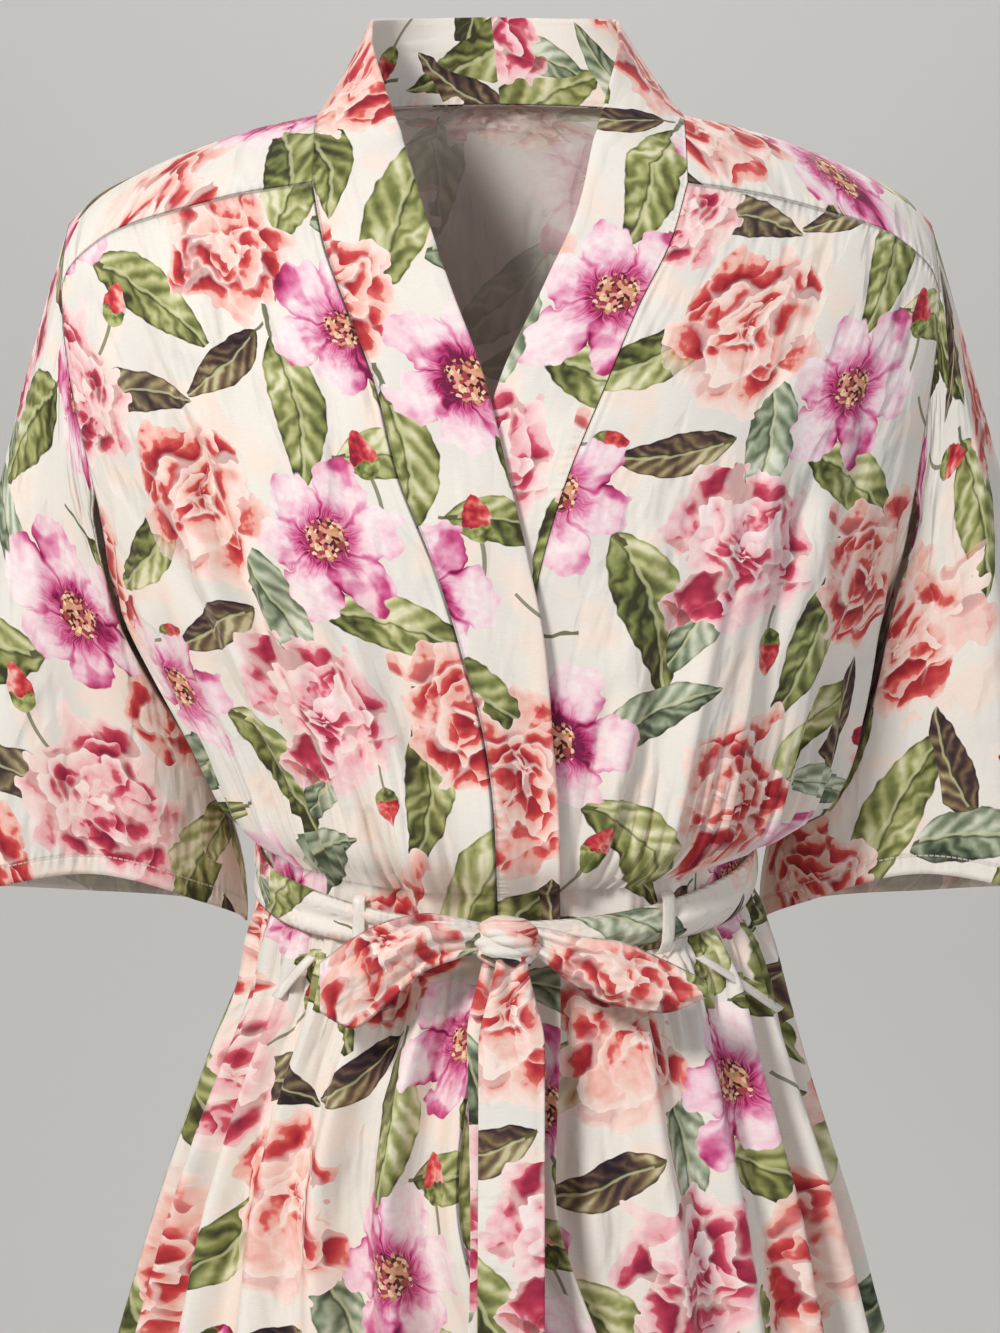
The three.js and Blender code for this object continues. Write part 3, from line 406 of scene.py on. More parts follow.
SLEEVES = {
    "sleeve_viewer_left": {"side": -1, "middle": 226, "half_width": 83, "half_depth": 54, "seed": 51},
    "sleeve_viewer_right": {"side": 1, "middle": 230, "half_width": 83, "half_depth": 54, "seed": 67},
}
ARMHOLE_CORNERS = 14
SLEEVE_CLEAR = 4.6
SASH_CLEAR = 6.5
SASH_HALF_SIDE = 14
SASH_HALF_FRONT = 8
CUFF_HEIGHT = -437
CUFF_WAVES = columns_of("share drop", [
    (0, 16), (0.12, 2), (0.25, -15), (0.38, -5), (0.5, -5), (0.75, 2), (1, 16),
])
SLEEVE_FOLD = 5
SLEEVE_WAVES = 6


def armhole(side, share):
    """The armhole's edge: up the front from the underarm, over the shoulder and down the back."""
    corner = share * ARMHOLE_CORNERS
    ahead = front_point(side, np.ones_like(corner), np.maximum(UNDERARM_ROW - corner, 0))
    behind = back_point(0.0 if side < 0 else float(BACK_COLUMNS), np.maximum(corner - UNDERARM_ROW, 0))
    return np.where((corner < UNDERARM_ROW)[..., None], ahead, behind)


def clear_of_body(point):
    """Pushes sleeve points out of the body's section, so that the sleeve hangs against the side."""
    x, y, height = point[..., 0], point[..., 1], point[..., 2]
    sash = 1 - smooth((np.abs(height - WAIST) - SASH_HALF_SIDE) / 6)
    spare = body_at(height, "fold") + SLEEVE_CLEAR + SASH_CLEAR * sash
    width = half_width(x, height) + spare
    depth = np.where(y < 0, body_at(height, "front"), body_at(height, "back")) + spare
    reach = (np.abs(x) / width) ** SECTION_POWER + (np.abs(y) / depth) ** SECTION_POWER
    scale = np.maximum(reach ** (-1 / SECTION_POWER), 1)
    scale = 1 + (scale - 1) * smooth((-212 - height) / 20)
    return np.stack([x * scale, y * scale, height], axis=-1)


def sleeve_point(sleeve, share, row):
    """Row runs from 0 at the armhole to 1 at the cuff."""
    side = sleeve["side"]
    share, row = np.broadcast_arrays(np.asarray(share, float), np.asarray(row, float))
    start = armhole(side, share)
    angle = 2 * math.pi * share
    cosine, sine = np.cos(angle), np.sin(angle)
    inner = (1 + cosine) / 2
    reach = sleeve["middle"] - sleeve["half_width"] * power(cosine, 0.9)
    hem = CUFF_HEIGHT - read(CUFF_WAVES, "share", share, "drop")
    cuff_y = lerp(10, 46, inner) - sleeve["half_depth"] * power(sine, 0.9)
    cuff = np.stack([side * reach, cuff_y, hem], axis=-1)
    leave = start + np.stack([side * lerp(30, -8, inner), 16 * inner, lerp(-95, -38, inner)], axis=-1)
    arrive = cuff + np.stack([side * lerp(-6, -4, inner), 0 * inner, lerp(110, 78, inner)], axis=-1)
    t = row[..., None]
    point = ((1 - t) ** 3 * start + 3 * (1 - t) ** 2 * t * leave
             + 3 * (1 - t) * t ** 2 * arrive + t ** 3 * cuff)
    along = smooth(row)
    drift = 0.7 * np.sin(angle / 2) * wander(3 * cosine, 3 * row + sine, sleeve["seed"])
    fold = SLEEVE_FOLD * np.cos(SLEEVE_WAVES * angle + drift) * (1 - inner ** 2) * along
    fold = fold + 2.4 * (1 - inner) * np.sin(math.pi * row) * wander(5 * angle, 4 * row, sleeve["seed"] + 1)
    point[..., 0] -= side * fold * cosine
    point[..., 1] -= fold * sine
    return clear_of_body(point)


# Making meshes

def grid_faces(rows, columns, closed=False):
    """Corner indices of a grid's quads, and the place of each corner on the unrolled grid."""
    around = columns if closed else columns + 1
    row, column = np.meshgrid(np.arange(rows), np.arange(columns), indexing="ij")
    corners = [(row, column), (row + 1, column), (row + 1, column + 1), (row, column + 1)]
    faces = np.stack([r * around + c % around for r, c in corners], axis=-1).reshape(-1, 4)
    flat = np.stack([r * (columns + 1) + c for r, c in corners], axis=-1).reshape(-1, 4)
    return faces, flat


def lengths(points, axis):
    """Distance along a grid's lines, from nothing at the first."""
    steps = np.linalg.norm(np.diff(points, axis=axis), axis=-1)
    first = np.zeros_like(np.take(steps, [0], axis=axis))
    return np.cumsum(np.concatenate([first, steps], axis=axis), axis=axis)


def calm(values, reach):
    """Evens out a grid's values over their neighbours, so that small pleats don't break up the print."""
    for axis in (0, 1):
        spread = [(reach, reach) if here == axis else (0, 0) for here in (0, 1)]
        padded = np.pad(values, spread, mode="reflect", reflect_type="odd")
        count = values.shape[axis]
        values = sum(np.take(padded, range(step, step + count), axis=axis) for step in range(2 * reach + 1))
        values = values / (2 * reach + 1)
    return values


def add_piece(name, points, maps, materials, wall=0.0, closed=False, keep=None, flip=False):
    """A sheet from a grid of points in millimetres, with maps in metres, in place of the node of its name."""
    rows, columns = points.shape[0] - 1, points.shape[1] - 1
    faces, flat = grid_faces(rows, columns, closed)
    if keep is not None:
        chosen = keep.reshape(-1)
        faces, flat = faces[chosen], flat[chosen]
    if flip:
        faces, flat = faces[:, ::-1], flat[:, ::-1]
    corners = (points[:, :-1] if closed else points).reshape(-1, 3) * MM
    used, indices = np.unique(faces, return_inverse=True)
    mesh = bpy.data.meshes.new(name + "_cloth")
    mesh.from_pydata(corners[used].tolist(), [], indices.reshape(faces.shape).tolist())
    for map_name, values in maps.items():
        layer = mesh.uv_layers.new(name=map_name)
        layer.data.foreach_set("uv", (values.reshape(-1, 2)[flat.reshape(-1)]).ravel())
    mesh.polygons.foreach_set("use_smooth", [True] * len(mesh.polygons))
    for material in materials:
        mesh.materials.append(material)
    piece = bpy.data.objects.new(name + "_cloth", mesh)
    bpy.context.scene.collection.objects.link(piece)
    if wall:
        shell = piece.modifiers.new("Cloth", "SOLIDIFY")
        shell.thickness = wall * MM
        shell.offset = 0
        shell.material_offset = 1 if len(materials) > 1 else 0
        shell.material_offset_rim = 0
    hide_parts(name)
    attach(piece, "root")
    return piece


def cloth_maps(across, down, edge, hem, shift=(0, 0)):
    """The cloth map, in metres along the grain, and the map of distances to the seams and to the hem."""
    place = np.stack([across * MM + shift[0], -down * MM + shift[1]], axis=-1)
    return {"Cloth": place, "Edges": np.stack([edge * MM, hem * MM], axis=-1)}


def spread_rows(table, key, step):
    """Row numbers spaced about evenly down the cloth."""
    rows = [table["row"][0]]
    heights = table[key]
    for index in range(len(heights) - 1):
        count = max(1, round(abs(heights[index + 1] - heights[index]) / step))
        rows.extend(np.linspace(index, index + 1, count + 1)[1:])
    return np.array(rows)


# Materials: colours as the eye sees them, from 0 to 255

def dye(red, green, blue):
    def linear(value):
        value = value / 255
        return value / 12.92 if value <= 0.04045 else ((value + 0.055) / 1.055) ** 2.4
    return (linear(red), linear(green), linear(blue), 1)


IVORY = dye(237, 232, 223)
IVORY_COOL = dye(228, 225, 218)
IVORY_WARM = dye(244, 226, 213)


class Sketch:
    """Adds nodes to one tree, each joined to the ones before it."""

    def __init__(self, tree):
        self.tree = tree

    def node(self, kind, **settings):
        node = self.tree.nodes.new(kind)
        for name, value in settings.items():
            setattr(node, name, value)
        return node

    def put(self, socket, value):
        if isinstance(value, bpy.types.NodeSocket):
            self.tree.links.new(value, socket)
        elif value is not None:
            socket.default_value = value

    def math(self, operation, *values, clamp=False):
        node = self.node("ShaderNodeMath", operation=operation, use_clamp=clamp)
        for socket, value in zip(node.inputs, values):
            self.put(socket, value)
        return node.outputs[0]

    def vector(self, operation, *values, scale=None):
        node = self.node("ShaderNodeVectorMath", operation=operation)
        for socket, value in zip(node.inputs, values):
            self.put(socket, value)
        if scale is not None:
            self.put(node.inputs["Scale"], scale)
        return node.outputs["Value"] if operation in ("LENGTH", "DOT_PRODUCT") else node.outputs["Vector"]

    def split(self, vector):
        node = self.node("ShaderNodeSeparateXYZ")
        self.put(node.inputs[0], vector)
        return node.outputs[0], node.outputs[1]

    def join(self, x, y, z=0.0):
        node = self.node("ShaderNodeCombineXYZ")
        for socket, value in zip(node.inputs, (x, y, z)):
            self.put(socket, value)
        return node.outputs[0]

    def mix(self, factor, a, b, blend="MIX"):
        node = self.node("ShaderNodeMix", data_type="RGBA", blend_type=blend)
        self.put(node.inputs[0], factor)
        self.put(node.inputs[6], a)
        self.put(node.inputs[7], b)
        return node.outputs[2]

    def pick(self, factor, a, b):
        node = self.node("ShaderNodeMix", data_type="VECTOR")
        self.put(node.inputs[0], factor)
        self.put(node.inputs[4], a)
        self.put(node.inputs[5], b)
        return node.outputs[1]

    def blend(self, factor, a, b):
        node = self.node("ShaderNodeMix", data_type="FLOAT")
        self.put(node.inputs[0], factor)
        self.put(node.inputs[2], a)
        self.put(node.inputs[3], b)
        return node.outputs[0]

    def steps(self, value, low, high, bottom=0.0, top=1.0):
        node = self.node("ShaderNodeMapRange", interpolation_type="SMOOTHSTEP")
        for socket, given in zip(node.inputs, (value, low, high, bottom, top)):
            self.put(socket, given)
        return node.outputs[0]

    def noise(self, place, scale, detail=2.0, roughness=0.5):
        node = self.node("ShaderNodeTexNoise", noise_dimensions="2D")
        self.put(node.inputs["Vector"], place)
        self.put(node.inputs["Scale"], scale)
        self.put(node.inputs["Detail"], detail)
        self.put(node.inputs["Roughness"], roughness)
        return node.outputs

    def cells(self, place, scale, feature="F1", dimensions="2D"):
        node = self.node("ShaderNodeTexVoronoi", feature=feature, voronoi_dimensions=dimensions)
        self.put(node.inputs["Vector"], place)
        self.put(node.inputs["Scale"], scale)
        return node.outputs

    def ramp(self, value, stops, interpolation="LINEAR"):
        node = self.node("ShaderNodeValToRGB")
        node.color_ramp.interpolation = interpolation
        marks = node.color_ramp.elements
        while len(marks) < len(stops):
            marks.new(0.5)
        for mark, (position, colour) in zip(marks, stops):
            mark.position = position
            mark.color = colour
        self.put(node.inputs[0], value)
        return node.outputs[0]

    def use(self, group, **values):
        node = self.node("ShaderNodeGroup", node_tree=group)
        for name, value in values.items():
            self.put(node.inputs[name.replace("_", " ").capitalize()], value)
        return node.outputs


KINDS = {"value": "NodeSocketFloat", "vector": "NodeSocketVector", "colour": "NodeSocketColor"}


def new_group(name, takes, gives):
    """A shader node group with named inputs and outputs. Returns it, its sketch and its two end nodes."""
    group = bpy.data.node_groups.new(name, "ShaderNodeTree")
    for title, (kind, start) in takes.items():
        socket = group.interface.new_socket(title, in_out="INPUT", socket_type=KINDS[kind])
        if start is not None:
            socket.default_value = start
    for title, kind in gives.items():
        group.interface.new_socket(title, in_out="OUTPUT", socket_type=KINDS[kind])
    sketch = Sketch(group)
    return group, sketch, sketch.node("NodeGroupInput").outputs, sketch.node("NodeGroupOutput").inputs


# The print. Its own motifs on its own repeat, in millimetres: ruffled blooms, open blooms, leaves and buds.

HALF_REPEAT = (150.0, 170.0, 1.0)
MINUS_HALF_REPEAT = (-150.0, -170.0, -1.0)
PRINT_SCALE = 1.16
FAR = 1e3
RUFFLED_SIZE = 43.0
OPEN_SIZE = 39.0
OPEN_PETALS = 6.0
BLOOMS = [
    # centre across and down, kind, tint
    (48, 58, "ruffled", 0.0), (112, 40, "open", 0.1), (90, 124, "ruffled", 0.7), (212, 62, "ruffled", 0.25),
    (262, 108, "open", 0.8), (158, 184, "ruffled", 0.45), (222, 204, "open", 0.35), (50, 214, "ruffled", 0.15),
    (92, 270, "open", 0.6), (190, 284, "ruffled", 0.9), (270, 288, "ruffled", 0.35),
]
LEAVES = [
    # centre across and down, turn in degrees, half length, half width, tone
    # from olive at 0 through grey green to aubergine at 1
    (4, 108, 100, 41, 18, 0.05), (160, 88, 35, 40, 17, 0.1), (162, 22, -30, 34, 14, 0.55),
    (44, 150, 70, 42, 18, 0.0), (136, 130, 8, 34, 13, 0.78), (262, 30, -50, 43, 18, 0.05),
    (292, 60, 20, 34, 15, 0.5), (222, 146, 95, 38, 16, 0.1), (290, 168, 60, 44, 18, 0.0),
    (108, 202, 150, 37, 16, 0.15), (8, 178, 125, 31, 12, 0.9), (184, 236, 80, 35, 15, 0.6),
    (244, 250, 25, 38, 16, 0.0), (146, 318, 60, 42, 18, 0.1), (44, 322, 140, 40, 16, 0.45),
    (10, 256, 85, 38, 16, 0.1), (234, 326, 100, 38, 16, 0.2), (140, 244, 165, 30, 12, 0.95),
    (192, 120, 150, 29, 11, 0.9), (66, 6, 165, 36, 15, 0.3), (30, 124, 58, 30, 13, 0.25),
    (268, 172, 12, 31, 14, 0.15), (286, 20, -100, 30, 12, 0.88), (170, 320, 110, 30, 13, 0.5),
]
BUDS = [
    # centre across and down, turn in degrees, half length, tint
    (136, 88, -60, 11, 0.2), (16, 30, 200, 10, 0.7), (252, 168, -100, 12, 0.1), (108, 244, -10, 10, 0.5),
    (214, 330, 80, 11, 0.8), (296, 222, 20, 11, 0.3),
]


NEAREST_SO_FAR = {"Measure": ("value", FAR), "Motif place": ("vector", None), "Motif tint": ("value", 0.0)}
NEAREST = {title: kind for title, (kind, _) in NEAREST_SO_FAR.items()}
MOTIF_SPOT = {"Place": ("vector", None), "Centre": ("vector", None), "Tint": ("value", 0.0)}


def away_from_centre(s, given):
    place = s.vector("SUBTRACT", given["Place"], given["Centre"])
    return s.vector("WRAP", place, HALF_REPEAT, MINUS_HALF_REPEAT)


def keep_nearer(s, given, out, place):
    """Passes on this motif or the nearest one so far: its measure, the place in it and its tint."""
    measure = s.vector("LENGTH", place)
    nearer = s.math("LESS_THAN", measure, given["Measure"])
    s.put(out["Measure"], s.math("MINIMUM", measure, given["Measure"]))
    s.put(out["Motif place"], s.pick(nearer, given["Motif place"], place))
    s.put(out["Motif tint"], s.blend(nearer, given["Motif tint"], given["Tint"]))


def make_nearest_bloom():
    group, s, given, out = new_group("nearest bloom", {**MOTIF_SPOT, **NEAREST_SO_FAR}, NEAREST)
    keep_nearer(s, given, out, away_from_centre(s, given))
    return group


def make_nearest_leaf():
    """The same for long motifs, measured along and across their own length."""
    own_axes = {"Along": ("vector", None), "Across": ("vector", None)}
    group, s, given, out = new_group("nearest leaf", {**MOTIF_SPOT, **own_axes, **NEAREST_SO_FAR}, NEAREST)
    away = away_from_centre(s, given)
    along, across = (s.vector("DOT_PRODUCT", away, given[axis]) for axis in ("Along", "Across"))
    keep_nearer(s, given, out, s.join(along, across))
    return group


WASHES = {"Broad": ("vector", None), "Fine": ("vector", None),
          "Wash": ("value", 0.5), "Grain": ("value", 0.5)}


def new_motif(name):
    return new_group(name, {"Place": ("vector", None), "Tint": ("value", 0.0), **WASHES},
                     {"Colour": "colour", "Mask": "value"})


def make_ruffled_bloom():
    """A full bloom of ruffled petals: red at each petal's foot and pale at its rim, washed out in parts."""
    group, s, given, out = new_motif("ruffled bloom")
    place = s.vector("ADD", given["Place"], s.vector("SCALE", given["Broad"], scale=0.6))
    place = s.vector("ADD", place, s.vector("SCALE", given["Fine"], scale=0.17))
    x, y = s.split(place)
    radius = s.vector("LENGTH", s.join(x, y))
    ring = s.math("MULTIPLY", s.math("POWER", radius, 0.75), 1.5)
    direction = s.vector("NORMALIZE", s.join(x, y))
    around = s.vector("SCALE", direction, scale=s.math("MULTIPLY_ADD", ring, 0.37, 0.42))
    dx, dy = s.split(around)
    shifted_ring = s.math("ADD", ring, s.math("MULTIPLY", given["Tint"], 7.5))
    petals = s.cells(s.join(dx, dy, shifted_ring), 2.5, "F1", "3D")
    petal_ring = s.node("ShaderNodeSeparateXYZ")
    s.put(petal_ring.inputs[0], petals["Position"])
    petal_at = s.math("SUBTRACT", petal_ring.outputs[2], s.math("MULTIPLY", given["Tint"], 7.5))
    rise = s.steps(s.math("SUBTRACT", ring, petal_at), -0.17, 0.24)
    petal_tint = s.node("ShaderNodeSeparateColor")
    s.put(petal_tint.inputs[0], petals["Color"])
    strength = s.steps(given["Wash"], 0.36, 0.6)
    deep = s.math("MULTIPLY", s.math("SUBTRACT", 1.0, rise), s.math("MULTIPLY_ADD", strength, 0.72, 0.34))
    deep = s.math("ADD", deep, s.math("MULTIPLY_ADD", petal_tint.outputs[0], 0.34, -0.14))
    deep = s.math("ADD", deep, s.math("MULTIPLY_ADD", given["Grain"], 0.3, -0.15))
    splash = s.steps(deep, 0.42, 0.54)
    tone = s.math("MULTIPLY_ADD", splash, 0.25, s.math("MULTIPLY_ADD", deep, 0.6, 0.06))
    coral = s.ramp(tone, [(0.0, dye(246, 228, 217)), (0.16, dye(243, 206, 194)), (0.34, dye(236, 166, 154)),
                          (0.54, dye(222, 112, 104)), (0.76, dye(192, 58, 62)), (1.0, dye(146, 30, 44))])
    rose = s.ramp(tone, [(0.0, dye(246, 230, 227)), (0.16, dye(243, 206, 208)), (0.34, dye(234, 162, 172)),
                         (0.54, dye(216, 106, 126)), (0.76, dye(182, 52, 80)), (1.0, dye(132, 28, 58))])
    colour = s.mix(s.steps(given["Tint"], 0.55, 0.75), coral, rose)
    colour = s.mix(s.steps(petals["Distance"], 0.5, 0.72, 0.0, 0.5), colour, dye(249, 230, 221))
    edge = s.math("ADD", petal_at, s.math("MULTIPLY", petal_tint.outputs[1], 0.12))
    s.put(out["Colour"], colour)
    s.put(out["Mask"], s.math("MULTIPLY", s.steps(edge, 1.46, 1.42), s.steps(radius, 1.14, 1.1)))
    return group


def make_open_bloom():
    """An open bloom: loose petals, pink in the throat and pale outside, round a stippled middle."""
    group, s, given, out = new_motif("open bloom")
    place = s.vector("ADD", given["Place"], s.vector("SCALE", given["Broad"], scale=0.3))
    place = s.vector("ADD", place, s.vector("SCALE", given["Fine"], scale=0.22))
    x, y = s.split(place)
    radius = s.vector("LENGTH", s.join(x, y))
    turn = s.math("ADD", s.math("ARCTAN2", y, x), s.math("MULTIPLY", given["Tint"], 9.0))
    petal = s.math("MULTIPLY", turn, OPEN_PETALS / (2 * math.pi))
    number = s.math("ROUND", petal)
    beside = s.math("ABSOLUTE", s.math("SUBTRACT", petal, number))
    chance = s.node("ShaderNodeTexWhiteNoise", noise_dimensions="1D")
    s.put(chance.inputs["W"], s.math("FLOORED_MODULO", s.math("ADD", number, 0.1), OPEN_PETALS))
    notch = s.math("MULTIPLY", s.math("POWER", s.math("MULTIPLY", beside, 2.0), 2.6), 0.34)
    petal_size = s.math("MULTIPLY_ADD", chance.outputs["Value"], 0.24, 0.82)
    outline = s.math("MULTIPLY", s.math("SUBTRACT", 1.0, notch), petal_size)
    reach = s.math("DIVIDE", radius, outline)
    ray_place = s.join(s.math("MULTIPLY", beside, 5.0), s.math("MULTIPLY", radius, 0.8), 0.0)
    rays = s.noise(ray_place, 1.9, 1.0, 0.65)["Fac"]
    throat = s.steps(radius, 0.72, 0.14)
    tone = s.math("MULTIPLY", throat, s.math("MULTIPLY_ADD", rays, 1.4, 0.2))
    rim = s.math("MULTIPLY", s.steps(reach, 0.55, 1.02), s.math("MULTIPLY_ADD", given["Wash"], 1.5, -0.5))
    tone = s.math("ADD", tone, s.math("MAXIMUM", rim, 0.0))
    tone = s.math("ADD", tone, s.math("MULTIPLY", s.steps(beside, 0.38, 0.5), 0.26))
    tone = s.math("ADD", tone, s.math("MULTIPLY", s.steps(given["Wash"], 0.55, 0.63), 0.3))
    tone = s.math("ADD", tone, s.math("MULTIPLY_ADD", given["Grain"], 0.3, -0.15))
    colour = s.ramp(tone, [(0.0, dye(247, 233, 234)), (0.2, dye(242, 206, 218)), (0.42, dye(228, 156, 186)),
                           (0.66, dye(206, 90, 142)), (0.86, dye(170, 42, 98)), (1.0, dye(114, 24, 68))])
    dots = s.cells(given["Place"], 24.0)
    dot_tint = s.node("ShaderNodeSeparateColor")
    s.put(dot_tint.inputs[0], dots["Color"])
    stipple = s.ramp(dot_tint.outputs[0], [
        (0.0, dye(84, 32, 42)), (0.24, dye(158, 66, 74)), (0.46, dye(222, 158, 134)),
        (0.7, dye(238, 208, 170)), (0.9, dye(196, 154, 92))], "CONSTANT")
    ragged = s.math("ADD", s.vector("LENGTH", given["Place"]), s.math("MULTIPLY", dot_tint.outputs[1], 0.1))
    colour = s.mix(s.steps(ragged, 0.30, 0.28), colour, stipple)
    s.put(out["Colour"], colour)
    s.put(out["Mask"], s.steps(reach, 1.0, 0.97))
    return group


def make_leaf():
    """A leaf along its own length: light and dark halves, side veins, a drawn midrib and a stalk."""
    group, s, given, out = new_motif("leaf")
    ragged, _ = s.split(given["Fine"])
    x, y = s.split(given["Place"])
    inside = s.math("MAXIMUM", s.math("MULTIPLY_ADD", x, s.math("MULTIPLY", x, -1.0), 1.0), 0.0)
    middle = s.math("SUBTRACT", s.math("ADD", y, 0.14), s.math("MULTIPLY", inside, 0.34))
    middle = s.math("ADD", middle, s.math("MULTIPLY", ragged, 0.2))
    width = s.math("MULTIPLY", s.math("POWER", inside, 0.8), s.math("MULTIPLY_ADD", x, -0.28, 0.84))
    from_rib = s.math("ABSOLUTE", middle)
    spare = s.math("SUBTRACT", width, from_rib)
    mask = s.steps(spare, 0.0, 0.04)
    from_stalk = s.math("ABSOLUTE", s.math("ADD", x, 1.15))
    stalk = s.math("MULTIPLY", s.steps(from_rib, 0.085, 0.05), s.math("LESS_THAN", from_stalk, 0.35))
    side = s.steps(middle, -0.06, 0.06)
    slant = s.math("MULTIPLY_ADD", from_rib, -1.7, s.math("MULTIPLY", ragged, 0.9))
    vein = s.math("ADD", s.math("MULTIPLY", x, 3.0), slant)
    stripe = s.math("SINE", s.math("MULTIPLY", vein, 2 * math.pi))
    light = s.math("ADD", s.math("MULTIPLY_ADD", stripe, 0.19, 0.42), s.math("MULTIPLY", side, 0.2))
    light = s.math("ADD", light, s.math("MULTIPLY_ADD", given["Wash"], 1.5, -0.75))
    light = s.math("ADD", light, s.math("MULTIPLY_ADD", given["Grain"], 0.24, -0.12))
    light = s.math("SUBTRACT", light, s.steps(x, 0.3, 1.0, 0.0, 0.26))
    light = s.math("SUBTRACT", light, s.steps(spare, 0.14, 0.0, 0.0, 0.26))
    olive = s.ramp(light, [(0.0, dye(56, 54, 34)), (0.22, dye(94, 98, 54)), (0.45, dye(130, 136, 78)),
                           (0.7, dye(176, 178, 122)), (1.0, dye(226, 223, 188))])
    grey = s.ramp(light, [(0.0, dye(50, 56, 44)), (0.25, dye(94, 106, 84)), (0.5, dye(136, 148, 122)),
                          (0.75, dye(180, 188, 164)), (1.0, dye(218, 222, 206))])
    dark = s.ramp(light, [(0.0, dye(38, 26, 34)), (0.35, dye(74, 54, 52)), (0.6, dye(114, 94, 70)),
                          (0.82, dye(152, 140, 98)), (1.0, dye(200, 190, 156))])
    colour = s.mix(s.steps(given["Tint"], 0.3, 0.45), olive, grey)
    colour = s.mix(s.steps(given["Tint"], 0.68, 0.8), colour, dark)
    colour = s.mix(s.steps(from_rib, 0.07, 0.02, 0.0, 0.55), colour, dye(208, 210, 164))
    under_rib = s.math("ABSOLUTE", s.math("ADD", middle, 0.09))
    colour = s.mix(s.steps(under_rib, 0.05, 0.01, 0.0, 0.6), colour, dye(58, 60, 34))
    colour = s.mix(stalk, colour, dye(92, 92, 56))
    s.put(out["Colour"], colour)
    s.put(out["Mask"], s.math("MAXIMUM", mask, s.math("MULTIPLY", stalk, 0.9)))
    return group


def make_bud():
    """A closed bud: red tip in a green cup, on a thin bent stalk."""
    group, s, given, out = new_motif("bud")
    x, y = s.split(given["Place"])
    wash = s.math("MULTIPLY_ADD", s.math("SUBTRACT", given["Grain"], 0.5), 0.8, given["Wash"])
    inside = s.math("MAXIMUM", s.math("MULTIPLY_ADD", x, s.math("MULTIPLY", x, -1.0), 1.0), 0.0)
    width = s.math("MULTIPLY", s.math("POWER", inside, 0.6), s.math("MULTIPLY_ADD", x, -0.18, 0.6))
    from_middle = s.math("ABSOLUTE", s.math("MULTIPLY_ADD", wash, 0.2, s.math("SUBTRACT", y, 0.1)))
    body = s.steps(s.math("SUBTRACT", width, from_middle), 0.0, 0.05)
    behind = s.math("ADD", x, 1.0)
    bend = s.math("SUBTRACT", y, s.math("MULTIPLY", s.math("MULTIPLY", behind, behind), 0.16))
    stalk = s.math("MULTIPLY", s.steps(s.math("ABSOLUTE", bend), 0.1, 0.07),
                   s.math("MULTIPLY", s.math("LESS_THAN", x, -0.8), s.math("GREATER_THAN", x, -3.6)))
    red = s.ramp(s.math("MULTIPLY_ADD", y, 0.4, wash), [
        (0.2, dye(240, 186, 176)), (0.42, dye(222, 100, 94)),
        (0.62, dye(188, 50, 60)), (0.85, dye(132, 28, 50))])
    green = s.ramp(wash, [(0.3, dye(70, 74, 40)), (0.5, dye(122, 132, 70)), (0.7, dye(178, 184, 122))])
    colour = s.mix(s.steps(s.math("MULTIPLY_ADD", wash, 0.7, x), 0.12, 0.06), red, green)
    colour = s.mix(s.math("SUBTRACT", 1.0, body), colour, dye(112, 116, 86))
    s.put(out["Colour"], colour)
    s.put(out["Mask"], s.math("MAXIMUM", body, s.math("MULTIPLY", stalk, 0.85)))
    return group


